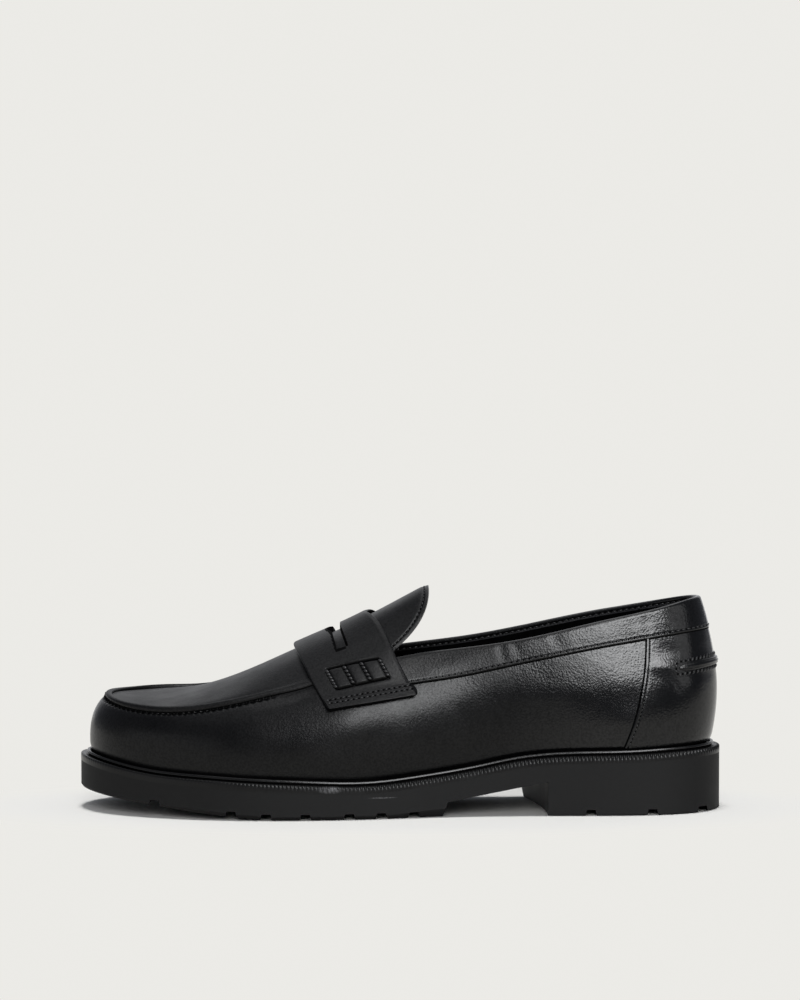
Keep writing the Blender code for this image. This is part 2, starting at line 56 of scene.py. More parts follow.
# percent of length, ball width and collar height; lean of the wall in degrees; welt margin in millimetres
lastColumns = (
    "along", "outer", "inner", "topAlong", "topOuter", "topInner",
    "heightOuter", "heightInner", "flareOuter", "flareInner", "arrival", "margin",
)
lastRows = {
    "heelBack": (0.0, 0.0, 0.0, 1.9, 0.0, 0.0, 100.0, 100.0, 13, 13, 72, 4.5),
    "heelTurn": (3.5, 21.5, 21.5, 4.5, 14.0, 14.0, 98.8, 98.8, 11, 11, 76, 4.4),
    "heelSide": (10.0, 30.0, 30.0, 10.5, 22.5, 22.0, 94.8, 95.5, 8, 8, 80, 4.2),
    "heelFront": (18.5, 32.5, 32.0, 18.5, 27.0, 26.0, 90.0, 91.3, 6, 8, 80, 4.0),
    "waistRear": (29.0, 33.0, 30.0, 29.0, 29.5, 28.0, 83.0, 84.8, 8, 16, 77, 4.0),
    "waist": (39.0, 35.5, 28.0, 39.0, 30.5, 29.0, 78.5, 79.2, 10, 22, 72, 4.0),
    "instep": (48.5, 41.0, 30.5, 48.5, 31.5, 30.0, 75.0, 75.5, 12, 22, 62, 4.0),
    "ballRear": (57.5, 47.0, 38.5, 57.5, 34.5, 33.0, 69.0, 70.5, 12, 16, 50, 4.1),
    "ball": (66.5, 50.0, 46.5, 66.5, 37.5, 37.0, 60.8, 62.5, 9, 9, 42, 4.2),
    "ballFront": (74.5, 49.5, 50.0, 74.5, 39.0, 40.0, 54.7, 57.0, 6, 5, 39, 4.2),
    "toeJoint": (82.5, 45.0, 49.0, 82.0, 38.0, 40.0, 50.6, 53.2, 4, 3, 40, 4.3),
    "toeSide": (90.0, 36.5, 41.5, 88.2, 32.5, 35.0, 49.4, 53.0, 3, 3, 40, 4.4),
    "toeTurn": (96.0, 24.0, 29.0, 93.7, 21.5, 24.5, 50.6, 53.1, 4, 4, 38, 4.5),
    "toeTip": (100.0, -3.0, 3.0, 97.1, -2.5, 2.5, 53.6, 53.6, 4, 4, 35, 4.5),
}
crestTable = (
    (40.0, 125.5), (48.5, 111.0), (57.5, 95.6), (66.5, 82.5), (74.5, 70.6),
    (82.0, 61.8), (88.5, 57.9), (94.2, 57.6), (97.8, 58.7),
)
weltTable = (
    (-2.0, 104.0), (6.0, 102.0), (13.0, 99.0), (24.0, 96.5), (31.5, 89.5), (37.5, 78.0),
    (46.0, 65.0), (55.0, 56.5), (64.0, 58.5), (74.5, 63.0), (83.0, 67.5), (89.5, 72.0),
    (95.5, 81.0), (102.0, 92.0),
)
toeSpringTable = ((70.0, 0.0), (78.0, 1.8), (86.0, 4.4), (93.0, 6.9), (103.0, 10.5))


def percentX(percent):
    return (np.asarray(percent, float) / 100.0 - 0.5) * last["length"]


def ease(value, start, end):
    share = np.clip((np.asarray(value, float) - start) / (end - start), 0.0, 1.0)
    return share * share * (3.0 - 2.0 * share)


def bell(value, middle, width):
    return np.exp(-(((value - middle) / width) ** 2))


def unit(vectors):
    return vectors / np.linalg.norm(vectors, axis=-1, keepdims=True)


# numbers and arrays, spread to one shape
def matched(*values):
    return np.broadcast_arrays(*[np.asarray(value, float) for value in values])


# cubic spline, closed when a period is given
def smoothLine(knots, values, period=None):
    knots = np.asarray(knots, float)
    values = np.asarray(values, float)
    count = len(knots)
    if period:
        knots = np.append(knots, knots[0] + period)
        values = np.concatenate([values, values[:1]])
    step = np.diff(knots)
    slope = (np.diff(values, axis=0).T / step).T
    system = np.eye(count)
    bend = np.zeros((count,) + values.shape[1:])
    for i in range(0 if period else 1, count if period else count - 1):
        before = (i - 1) % len(step)
        system[i, i] = 2.0 * (step[before] + step[i])
        system[i, (i - 1) % count] = step[before]
        system[i, (i + 1) % count] = step[i]
        bend[i] = 6.0 * (slope[i] - slope[before])
    second = np.linalg.solve(system, bend)
    if period:
        second = np.concatenate([second, second[:1]])

    def at(t):
        t = np.asarray(t, float)
        t = knots[0] + np.mod(t - knots[0], period) if period else np.clip(t, knots[0], knots[-1])
        i = np.clip(np.searchsorted(knots, t, side="right") - 1, 0, len(step) - 1)
        h = step[i]
        a = (knots[i + 1] - t) / h
        b = 1.0 - a
        if values.ndim > 1:
            h, a, b = h[..., None], a[..., None], b[..., None]
        cubic = (a**3 - a) * h**2 * second[i] + (b**3 - b) * h**2 * second[i + 1]
        return a * values[i] + b * values[i + 1] + cubic / 6.0

    return at


def ringRow(row, side):
    part = dict(zip(lastColumns, row))
    face = "Outer" if side > 0 else "Inner"
    return (
        percentX(part["along"]), side * part[face.lower()] * last["ballWidth"] / 100.0,
        percentX(part["topAlong"]), side * part["top" + face] * last["ballWidth"] / 100.0,
        part["height" + face] * last["collarHeight"] / 100.0,
        part["flare" + face], part["arrival"], part["margin"],
    )


sections = list(lastRows.values())
toeSection = len(sections) - 1
ringRows = np.array([ringRow(r, 1.0) for r in sections] + [ringRow(r, -1.0) for r in sections[-2:0:-1]])
ringSteps = np.hypot(*np.diff(np.vstack([ringRows, ringRows[:1]])[:, :2], axis=0).T)
ringKnots = np.concatenate([[0.0], np.cumsum(ringSteps)[:-1]])
ringLength = ringSteps.sum()
toePlace = ringKnots[toeSection]
ringAt = smoothLine(ringKnots, ringRows, ringLength)
crestAt = smoothLine(*np.array([(percentX(a), h * last["instepHeight"] / 100.0) for a, h in crestTable]).T)
weltTopAt = smoothLine(*np.array([(percentX(a), h * last["heelSeat"] / 100.0) for a, h in weltTable]).T)
toeSpringAt = smoothLine(*np.array([(percentX(a), h) for a, h in toeSpringTable]).T)


def bedAt(x):
    return weltTopAt(x) - last["bead"] - last["flange"] - last["gap"]


innerKnots = np.concatenate([[ringLength], ringKnots[:toeSection:-1], [toePlace]])


# distance round the foot line of a section number, on the outer (+1) or inner (-1) side
def placeAt(section, side):
    knots = ringKnots[: toeSection + 1] if side > 0 else innerKnots
    return np.interp(section, np.arange(toeSection + 1), knots)


def sectionOfPlace(t):
    numbers = np.arange(toeSection + 1)
    outer = np.interp(t, ringKnots[: toeSection + 1], numbers)
    inner = np.interp(t, innerKnots[::-1], numbers[::-1])
    return np.where(t <= toePlace, outer, inner)


def sectionAtX(x):
    return np.interp(x, percentX([r[0] for r in sections]), np.arange(toeSection + 1))


probe = {"along": 0.5, "around": 0.4, "rise": 0.004}  # small steps that give a direction


def outwardAt(t, first):
    run = unit((ringAt(t + probe["along"]) - ringAt(t - probe["along"]))[..., first : first + 2])
    return np.stack([-run[..., 1], run[..., 0], np.zeros_like(run[..., 0])], axis=-1)


up = np.array([0.0, 0.0, 1.0])


def footAt(t):
    part = ringAt(t)
    return np.stack([part[..., 0], part[..., 1], weltTopAt(part[..., 0]) + last["gap"]], axis=-1)


# outer face of the upper's wall, v from 0 at the welt to 1 at the collar or the apron seam
def wallAt(t, v):
    t, v = matched(t, v)
    part = ringAt(t)
    foot = footAt(t)
    top = part[..., 2:5]
    handle = (last["fullness"] * np.linalg.norm(top - foot, axis=-1))[..., None]
    flare = np.radians(part[..., 5])[..., None]
    arrival = np.radians(part[..., 6])[..., None]
    low = foot + handle * (up * np.cos(flare) + outwardAt(t, 0) * np.sin(flare))
    high = top - handle * (up * np.sin(arrival) - outwardAt(t, 2) * np.cos(arrival))
    v = v[..., None]
    return foot * (1 - v) ** 3 + 3 * low * v * (1 - v) ** 2 + 3 * high * v**2 * (1 - v) + top * v**3


def wallNormal(t, v):
    t, v = matched(t, v)
    around = wallAt(t + probe["around"], v) - wallAt(t - probe["around"], v)
    rise = wallAt(t, v + probe["rise"]) - wallAt(t, v - probe["rise"])
    return unit(np.cross(rise, around))


# a place that stands off the wall
def offWall(t, v, height):
    return wallAt(t, v) + wallNormal(t, v) * np.asarray(height)[..., None]


def wallLength(t):
    line = wallAt(np.asarray(t)[..., None], np.linspace(0, 1, 25))
    return np.linalg.norm(np.diff(line, axis=-2), axis=-1).sum(-1)


# height share at which the wall reaches a height above the floor
def shareAtHeight(t, height):
    t, height = matched(t, height)
    low, high = np.zeros(t.shape), np.ones(t.shape)
    for _ in range(26):
        middle = (low + high) / 2
        under = wallAt(t, middle)[..., 2] < height
        low, high = np.where(under, middle, low), np.where(under, high, middle)
    return (low + high) / 2


# the apron seam at a section, on the outer and the inner side
def seamPair(section):
    return [ringAt(placeAt(section, side))[..., 2:5] for side in (1, -1)]


# apron and instep: across from -1 at the outer seam to +1 at the inner seam
def deckAt(section, across):
    section, across = matched(section, across)
    outer, inner = seamPair(section)
    share = ((across + 1.0) / 2.0)[..., None]
    point = outer * (1 - share) + inner * share
    middle = (outer + inner) / 2.0
    crown = crestAt(middle[..., 0]) - middle[..., 2]
    point[..., 2] += crown * (1.0 - np.abs(across) ** last["crownPower"])
    return point


# unit normals of a grid of points, columns crossed with rows
def gridNormals(points, ring=False):
    if ring:
        wide = np.concatenate([points[:, -2:-1], points, points[:, 1:2]], axis=1)
        columns = (wide[:, 2:] - wide[:, :-2]) / 2
    else:
        columns = np.gradient(points, axis=1)
    normal = np.cross(columns, np.gradient(points, axis=0))
    return normal / np.maximum(np.linalg.norm(normal, axis=-1, keepdims=True), 1e-9)


# soft troughs: each crease is a line from one (x, z) to another on one side of the shoe
def creaseDepth(points, creases):
    depth = np.zeros(points.shape[:-1])
    for side, x0, z0, x1, z1, width, deep in creases.values():
        start, run = np.array([x0, z0]), np.array([x1 - x0, z1 - z0])
        away = points[..., [0, 2]] - start
        share = np.clip((away @ run) / (run @ run), 0.0, 1.0)
        distance = np.linalg.norm(away - share[..., None] * run, axis=-1)
        fade = np.sin(np.pi * (0.15 + 0.7 * share))
        near = (points[..., 1] * side > 0) if side else 1.0
        depth += deep * fade * bell(distance, 0.0, width) * near
    return depth


def gridPiece(name, points, marks=None):
    rows, columns = points.shape[:2]
    bpy.ops.object.select_all(action="DESELECT")
    bpy.ops.mesh.primitive_grid_add(x_subdivisions=columns - 1, y_subdivisions=rows - 1, size=0.1)
    piece = bpy.context.active_object
    piece.name = piece.data.name = name
    piece.data.vertices.foreach_set("co", (points * mm).astype(np.float32).ravel())
    piece.data.update()
    if marks is not None:  # number of the material that a face takes
        numbers = np.broadcast_to(marks, points.shape[:2]).ravel()
        for face in piece.data.polygons:
            face.material_index = int(numbers[list(face.vertices)].min())
    return piece


def mendMesh(merge=False, fill=False, outward=True):
    bpy.ops.object.mode_set(mode="EDIT")
    bpy.ops.mesh.select_all(action="SELECT")
    if merge:
        bpy.ops.mesh.remove_doubles(threshold=1e-6)
    if fill:  # open ends
        bpy.ops.mesh.select_all(action="DESELECT")
        bpy.ops.mesh.select_non_manifold()
        bpy.ops.mesh.fill_holes(sides=0)
        bpy.ops.mesh.select_all(action="SELECT")
    if outward:
        bpy.ops.mesh.normals_make_consistent(inside=False)
    bpy.ops.object.mode_set(mode="OBJECT")


def addObject(name, data):
    made = bpy.data.objects.new(name, data)
    bpy.context.scene.collection.objects.link(made)
    return made


def facePiece(name, points, faces):
    mesh = bpy.data.meshes.new(name)
    mesh.from_pydata((points * mm).tolist(), [], faces)
    piece = addObject(name, mesh)
    bpy.ops.object.select_all(action="DESELECT")
    bpy.context.view_layer.objects.active = piece
    mendMesh()
    return piece


# a closed body from a stack of loops of equal length
def bodyBetween(name, *loops):
    count = len(loops[0])
    end = count * len(loops)
    faces = [list(range(count)), list(range(end - 1, end - count - 1, -1))]
    for start in range(0, end - count, count):
        for i in range(count):
            after = (i + 1) % count
            faces.append([start + i, start + after, start + count + after, start + count + i])
    return facePiece(name, np.vstack(loops), faces)


def finishMesh(piece, angle=50.0):
    bpy.ops.object.select_all(action="DESELECT")
    piece.select_set(True)
    bpy.context.view_layer.objects.active = piece
    bpy.ops.object.shade_smooth_by_angle(angle=math.radians(angle))


def applyModifier(piece, kind, **settings):
    bpy.context.view_layer.objects.active = piece
    bpy.ops.object.modifier_add(type=kind)
    added = piece.modifiers[-1]
    for name, value in settings.items():
        setattr(added, name, value)
    bpy.ops.object.modifier_apply(modifier=added.name)


def roundEdges(piece, width, segments, angle):
    applyModifier(
        piece, "BEVEL", width=width * mm, segments=segments,
        limit_method="ANGLE", angle_limit=math.radians(angle),
    )


def cutWith(piece, cutter, operation):
    applyModifier(piece, "BOOLEAN", object=cutter, operation=operation, solver="EXACT")
    bpy.data.objects.remove(cutter)


# a leather sheet: its outer face is the grid, its edges are rounded
def leatherSheet(name, points, thickness, edge=0.4, ring=False, marks=None):
    piece = gridPiece(name, points, marks)
    if ring:
        mendMesh(merge=True, outward=False)
    for material in (vampLeather, rawEdgeAndShade):
        piece.data.materials.append(material)
    applyModifier(
        piece, "SOLIDIFY", thickness=thickness * mm, offset=-1.0,
        use_quality_normals=True, material_offset_rim=1,
    )
    if edge:
        roundEdges(piece, edge, 3, 55.0)
    finishMesh(piece)
    return piece


# a strip whose closed section runs along a line: loops is (places, section points, 3)
def sweptStrip(name, loops, marks=(), ring=False, angle=50.0):
    grid = np.concatenate([loops, loops[:, :1]], axis=1)
    if ring:
        grid = np.concatenate([grid, grid[:1]], axis=0)
    numbers = np.zeros(loops.shape[1], int)  # material of each section point
    for points, number in marks:
        numbers[points] = number
    piece = gridPiece(name, grid, np.append(numbers, numbers[0]))
    mendMesh(merge=True, fill=not ring)
    finishMesh(piece, angle)
    return piece


def dress(piece, material, slot, *nodes, more=()):
    used = [min(p.material_index, len(more)) for p in piece.data.polygons]
    piece.data.materials.clear()
    for each in (material, *more):
        piece.data.materials.append(each)
    piece.data.polygons.foreach_set("material_index", used)
    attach(piece, "root")
    if nodes:
        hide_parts(*nodes)
    return piece


# materials

def feed(tree, node, inputs):
    for name, value in inputs.items():
        if isinstance(value, bpy.types.NodeSocket):
            tree.links.new(value, node.inputs[name])
        else:
            node.inputs[name].default_value = value
    return node


def addNode(tree, kind, inputs, **settings):
    node = tree.nodes.new("ShaderNode" + kind)
    for name, value in settings.items():
        setattr(node, name, value)
    return feed(tree, node, inputs)


def newMaterial(name):
    made = bpy.data.materials.new(name)
    made.use_nodes = True
    tree = made.node_tree
    place = addNode(tree, "TexCoord", {}).outputs["Object"]
    return made, tree, tree.nodes["Principled BSDF"], place


def addNoise(tree, place, scale, detail):
    return addNode(tree, "TexNoise", {"Vector": place, "Scale": scale, "Detail": detail}).outputs["Fac"]


def addBump(tree, height, strength, distance, before=None):
    bump = addNode(tree, "Bump", {"Height": height, "Strength": strength, "Distance": distance})
    if before:
        feed(tree, bump, {"Normal": before})
    return bump.outputs["Normal"]


def addRange(tree, value, low, high, start=0.3, end=0.7):
    spread = {"Value": value, "From Min": start, "From Max": end, "To Min": low, "To Max": high}
    return addNode(tree, "MapRange", spread).outputs["Result"]


def addProduct(tree, one, other):
    return addNode(tree, "Math", {0: one, 1: other}, operation="MULTIPLY").outputs["Value"]


# distance from the middle of an oval, 1 at its rim
def addOval(tree, place, middle, size):
    inward = [-m / s for m, s in zip(middle, size)]
    oval = addNode(tree, "Mapping", {"Vector": place, "Location": inward, "Scale": [1.0 / s for s in size]})
    return addNode(tree, "VectorMath", {0: oval.outputs["Vector"]}, operation="LENGTH").outputs["Value"]


def addShades(tree, value, dark, light):
    ramp = addNode(tree, "ValToRGB", {"Fac": value})
    for end, position, colour in zip(ramp.color_ramp.elements, (0.3, 0.7), (dark, light)):
        end.position = position
        end.color = (*colour, 1.0)
    return ramp.outputs["Color"]


leatherLook = {
    "dark": (0.0012, 0.0012, 0.0014),
    "light": (0.0026, 0.0026, 0.0029),
    "gloss": (0.34, 0.185, -0.092, -0.045),  # at heel and toe, and the stretch of X between them in metres
    "smooth": (0.72, 1.5, -0.100, 0.020),  # roughness, the same way
    "grain": 1050.0,  # cells a metre
    "grainBump": (0.45, 0.00009),  # strength, depth
    "pebble": 620.0,
    "pebbleBump": (0.35, 0.00004),
    "pores": (0.78, 1.1, 0.35, 0.60),  # gloss in and beside a pore, and the stretch of noise between them
    "slack": 55.0,  # slow waves in the hide
    "slackBump": (0.35, 0.0006),
    "coatRough": 0.16,
}


def leather(name, roughLow, roughHigh, coat, slack=1.0, pale=1.0):
    look = leatherLook
    made, tree, shader, place = newMaterial(name)
    cells = addNode(tree, "TexVoronoi", {"Vector": place, "Scale": look["grain"]}).outputs["Distance"]
    pebbles = addNoise(tree, place, look["pebble"], 4.0)
    waves = addNoise(tree, place, look["slack"], 2.0)
    pores = addNoise(tree, place, look["grain"], 1.0)
    along = addNode(tree, "SeparateXYZ", {"Vector": place}).outputs["X"]
    strength, depth = look["slackBump"]
    normal = addBump(tree, waves, strength * slack, depth)
    normal = addBump(tree, pebbles, *look["pebbleBump"], normal)
    normal = addBump(tree, cells, *look["grainBump"], normal)
    shades = [[pale * c for c in look[end]] for end in ("dark", "light")]
    rough = addRange(tree, waves, roughLow, roughHigh)
    shine = addRange(tree, along, *look["gloss"])
    feed(tree, shader, {
        "Normal": normal,
        "Base Color": addShades(tree, pebbles, *shades),
        "Roughness": addProduct(tree, rough, addRange(tree, along, *look["smooth"])),
        "Specular IOR Level": addProduct(tree, shine, addRange(tree, pores, *look["pores"])),
        "Coat Weight": coat,
        "Coat Roughness": look["coatRough"],
    })
    return made


rubberLook = {
    "dark": (0.0042, 0.0042, 0.0043),
    "light": (0.0062, 0.0062, 0.0063),
    "scuff": (0.11, 0.11, 0.115),
    "scuffFade": 0.4,  # full up to this share of its size
    "cloud": 60.0,
    "grit": 900.0,
    "gritBump": (0.4, 0.00008),
}
soleScuffs = {  # oval spots: middle and half sizes in metres
    "pale": ((0.0318, 0.0525, 0.0138), (0.0062, 0.0120, 0.0019)),
    "line": ((0.0080, 0.0480, 0.0097), (0.0078, 0.0080, 0.0004)),
}


def addScuffs(tree, place, colour, scuffs, grit):
    for middle, size in scuffs.values():
        spot = addRange(tree, addOval(tree, place, middle, size), 1.0, 0.0, rubberLook["scuffFade"], 1.0)
        worn = addProduct(tree, spot, addRange(tree, grit, 0.2, 1.0, 0.4, 0.6))
        inputs = {"Factor": worn, "A": colour, "B": (*rubberLook["scuff"], 1.0)}
        colour = addNode(tree, "Mix", inputs, data_type="RGBA").outputs["Result"]
    return colour


def rubber(name, roughLow, roughHigh, gloss, scuffs):
    look = rubberLook
    made, tree, shader, place = newMaterial(name)
    grit = addNoise(tree, place, look["grit"], 5.0)
    cloud = addNoise(tree, place, look["cloud"], 3.0)
    colour = addShades(tree, cloud, look["dark"], look["light"])
    feed(tree, shader, {
        "Normal": addBump(tree, grit, *look["gritBump"]),
        "Base Color": addScuffs(tree, place, colour, scuffs, grit),
        "Roughness": addRange(tree, cloud, roughLow, roughHigh),
        "Specular IOR Level": gloss,
    })
    return made


threadLook = {
    "twist": 2600.0, "twistBump": (0.6, 0.0001),
    "dark": (0.004, 0.004, 0.005), "light": (0.010, 0.010, 0.011),
    "rough": (0.30, 0.42), "gloss": 0.42,
}


def waxedThread(name):
    look = threadLook
    made, tree, shader, place = newMaterial(name)
    twist = addNoise(tree, place, look["twist"], 2.0)
    feed(tree, shader, {
        "Normal": addBump(tree, twist, *look["twistBump"]),
        "Base Color": addShades(tree, twist, look["dark"], look["light"]),
        "Roughness": addRange(tree, twist, *look["rough"]),
        "Specular IOR Level": look["gloss"],
    })
    return made


edgeAndShadeLook = {  # cut edges, and painted shade in stitch holes, pits, grooves and strips beside edges: hardly any shine
    "fibres": 1800.0, "fibreBump": (0.3, 0.00008),
    "dark": (0.0005, 0.0005, 0.0006), "light": (0.0016, 0.0016, 0.0017),
    "rough": 0.85, "gloss": 0.04,
}


def dullBlack(name):
    look = edgeAndShadeLook
    made, tree, shader, place = newMaterial(name)
    fibres = addNoise(tree, place, look["fibres"], 3.0)
    feed(tree, shader, {
        "Normal": addBump(tree, fibres, *look["fibreBump"]),
        "Base Color": addShades(tree, fibres, look["dark"], look["light"]),
        "Roughness": look["rough"],
        "Specular IOR Level": look["gloss"],
    })
    return made


vampLeather = leather("vampLeather", 0.18, 0.25, 0.04)
apronLeather = leather("apronLeather", 0.27, 0.35, 0.03)
strapLeather = leather("strapLeather", 0.27, 0.35, 0.03, 0.7)
collarLeather = leather("collarLeather", 0.20, 0.28, 0.04)
# dull black: the colour of cut edges, and painted shade where it marks holes, grooves, slits and strips
# beside edges
rawEdgeAndShade = dullBlack("rawEdgeAndShade")
liningLeather = leather("liningLeather", 0.45, 0.55, 0.0, 1.0, 9.0)
sockLeather = leather("sockLeather", 0.50, 0.60, 0.0, 1.0, 5.0)
soleRubber = rubber("soleRubber", 0.58, 0.68, 0.20, soleScuffs)
weltRubber = rubber("weltRubber", 0.26, 0.34, 0.20, soleScuffs)
beadRubber = rubber("beadRubber", 0.18, 0.26, 0.30, {})
thread = waxedThread("waxedThread")
print("materials ready")


# stitches: one short plump thread, copied along a line

stitch = {"segments": 6, "rings": 5, "holeDepth": 0.22, "holeLift": 0.06, "probe": 0.3}
bpy.ops.object.select_all(action="DESELECT")
bpy.ops.mesh.primitive_uv_sphere_add(segments=stitch["segments"], ring_count=stitch["rings"], radius=1.0)
ball = bpy.context.active_object
ballPoints = np.array([v.co[:] for v in ball.data.vertices])
ballFaces = [list(p.vertices) for p in ball.data.polygons]
bpy.data.objects.remove(ball)


# lines is a list of (points, normals); each line is sewn at a pitch, with a flat dull black blob between
# two stitches as painted shade of the hole
def sew(name, lines, pitch, length, width, slant=0.0, lift=0.0, sink=0.0, hole=0.0):
    wideways, upright, endways = (ballPoints[:, k : k + 1] for k in range(3))
    cosine, sine = math.cos(math.radians(slant)), math.sin(math.radians(slant))
    points, faces, dark = [], [], []
    for line, normal in lines:
        run = np.concatenate([[0.0], np.cumsum(np.linalg.norm(np.diff(line, axis=0), axis=1))])
        count = max(int(run[-1] / pitch), 1)
        places = np.arange(2 * count if hole else count)
        at = (places + 0.5) * run[-1] / len(places)

        def along(values, step=0.0):
            return np.stack([np.interp(at + step, run, values[:, k]) for k in range(3)], -1)

        out = unit(along(normal))
        ahead = along(line, stitch["probe"]) - along(line, -stitch["probe"])
        ahead = unit(ahead - (ahead * out).sum(1, keepdims=True) * out)
        side = np.cross(out, ahead)
        ahead, side = ahead * cosine + side * sine, side * cosine - ahead * sine
        for k, (m, a, s, o) in enumerate(zip(along(line), ahead, side, out)):
            isHole = bool(hole) and k % 2 == 1
            long, wide = (hole, hole) if isHole else (length, width)
            body = m + a * endways * long / 2 + s * wideways * wide / 2
            # a hole is a dull black blob lying just over the surface: painted shade in the stitch hole
            if isHole:
                body = body + o * (upright * stitch["holeDepth"] + stitch["holeLift"])
            else:
                body = body + o * (upright * width / 2 + lift - sink * endways**2)
            faces += [[i + len(points) * len(ballPoints) for i in f] for f in ballFaces]
            dark += [int(isHole)] * len(ballFaces)
            points.append(body)
    piece = facePiece(name, np.concatenate(points), faces)
    piece.data.shade_smooth()
    for material in (thread, rawEdgeAndShade):
        piece.data.materials.append(material)
    piece.data.polygons.foreach_set("material_index", dark)
    return dress(piece, thread, "upper_leather", more=(rawEdgeAndShade,))


# vamp and quarters: one wall all round, from under the welt's bead to the seam and the collar

vamp = {
    "thickness": 1.9,
    "frontStep": 0.8,  # mesh spacing along the apron seam
    "rearStep": 1.9,
    "rows": 70,
    "rearInset": 0.5,  # quarters lie this far inside, to carry the collar band and back panel
    "seamTuck": 1.3,  # the wall ends under the lip
    "collarTuck": 3.0,
    "pucker": 3.1,  # pitch of the gathers below the lip
    "puckerDepth": 0.75,
    "footTuck": 0.65,  # the wall turns in where it meets the welt
    "footHeight": 3.4,
    "skirt": 0.6,  # it ends this far over the bed of the sole
    "edge": 0.3,
    "frontX": 35.0,  # finer mesh in front of this
    "tuckSpan": (0.0, 24.0),  # X at which the collar's tuck turns into the seam's
    "lipSpan": (52.0, 64.0),  # and at which the gathers begin
    "foldSpan": (36.0, 44.0),  # behind them lies a plain fold
    "puckerPlace": (2.6, 1.0),  # distance under the seam, width
    "seamGroove": 0.25, "seamPlace": (2.2, 0.8),
    "foldGroove": 0.4, "foldPlace": (3.3, 1.2),
}
vampCreases = {  # side, from x, z, to x, z, width, depth
    "besideStrapUpper": (1, 66.0, 51.5, 42.0, 58.0, 2.4, 0.45),
    "besideStrapInner": (-1, 66.0, 52.5, 42.0, 59.0, 2.4, 0.45),
    "waistHollow": (1, -20.0, 42.0, -70.0, 52.0, 11.0, 0.5),
    "waistHollowInner": (-1, -25.0, 42.0, -70.0, 52.0, 11.0, 0.6),
    "ballDimple": (1, 30.0, 32.0, 8.0, 36.0, 8.0, 0.35),
    "ballRidge": (1, 21.0, 34.0, 23.0, 56.0, 12.0, -0.55),
    "waistRidge": (1, -58.0, 55.0, -84.0, 57.0, 7.0, -0.28),
    "heelHollow": (1, -99.0, 51.0, -116.0, 52.0, 7.0, 0.34),
}


def ringPlaces(frontStep, rearStep, frontX):
    fine = np.linspace(0.0, ringLength, 6000)
    x = ringAt(fine)[:, 0]
    weight = np.where(x > frontX, 1.0 / frontStep, 1.0 / rearStep)
    total = np.concatenate([[0.0], np.cumsum((weight[1:] + weight[:-1]) / 2 * np.diff(fine))])
    count = int(total[-1])
    return np.interp(np.linspace(0.0, total[-1], count + 1), total, fine)


def footTuck(height):
    return vamp["footTuck"] * np.clip(1.0 - height / vamp["footHeight"], 0.0, 1.0) ** 2


def vampGrid():
    t = ringPlaces(vamp["frontStep"], vamp["rearStep"], vamp["frontX"])[::-1]
    length = wallLength(t)
    topX = ringAt(t)[:, 2]
    front = ease(topX, *vamp["tuckSpan"])
    endShare = 1.0 - (vamp["seamTuck"] * front + vamp["collarTuck"] * (1 - front)) / length
    rows = (1.0 - (1.0 - np.linspace(0.0, 1.0, vamp["rows"])) ** 1.5) ** 1.25
    share = rows[:, None] * endShare[None, :]
    points = wallAt(np.broadcast_to(t, share.shape), share)
    normal = gridNormals(points, True)
    below = (1.0 - share) * length  # distance under the seam
    gather = 0.5 + 0.5 * np.cos(2 * np.pi * t / vamp["pucker"])
    lipZone = ease(topX, *vamp["lipSpan"])
    foldZone = (1.0 - lipZone) * ease(topX, *vamp["foldSpan"])
    relief = -vamp["rearInset"] * (1.0 - front)
    relief = relief - vamp["puckerDepth"] * gather * lipZone * bell(below, *vamp["puckerPlace"])
    relief = relief - vamp["seamGroove"] * lipZone * bell(below, *vamp["seamPlace"])
    relief = relief - vamp["foldGroove"] * foldZone * bell(below, *vamp["foldPlace"])
    relief = relief - creaseDepth(points, vampCreases) - footTuck(share * length)
    points = points + normal * relief[..., None]
    skirt = points[0].copy()
    skirt[:, 2] = bedAt(skirt[:, 0]) + vamp["skirt"]
    return np.concatenate([skirt[None], points])


vampPiece = leatherSheet("vampAndQuarters", vampGrid(), vamp["thickness"], vamp["edge"], ring=True)
dress(vampPiece, vampLeather, "upper_leather", "upper", more=(rawEdgeAndShade,))
print("vamp and quarters:", len(vampPiece.data.polygons), "faces")


# apron: the plug inside the seam, from under the strap to the toe

apron = {
    "thickness": 1.5, "rows": 150, "columns": 96, "sink": 0.12,
    "start": 7.0, "end": 12.96,  # section numbers
    "trough": 0.30, "troughPlace": (2.2, 1.6), "troughSpan": (52.0, 70.0),  # beside the seam
}


def apronGrid():
    section = np.linspace(apron["start"], apron["end"], apron["rows"])
    spread = np.linspace(-1.0, 1.0, apron["columns"])
    across = np.sign(spread) * (1.0 - (1.0 - np.abs(spread)) ** 1.3)
    points = deckAt(section[:, None], across[None, :])
    normal = gridNormals(points)
    width = np.linalg.norm(points[:, -1] - points[:, 0], axis=1)[:, None] / 2
    inside = (1.0 - np.abs(across))[None, :] * width
    fading = ease(points[..., 0], *apron["troughSpan"])
    trough = apron["trough"] * bell(inside, *apron["troughPlace"]) * fading
    return points - normal * (apron["sink"] + trough)[..., None]


apronPiece = leatherSheet("apron", apronGrid(), apron["thickness"], 0.0)
dress(apronPiece, apronLeather, "upper_leather")
print("apron:", len(apronPiece.data.polygons), "faces")


# lip: the raised seam where vamp and apron are sewn edge to edge

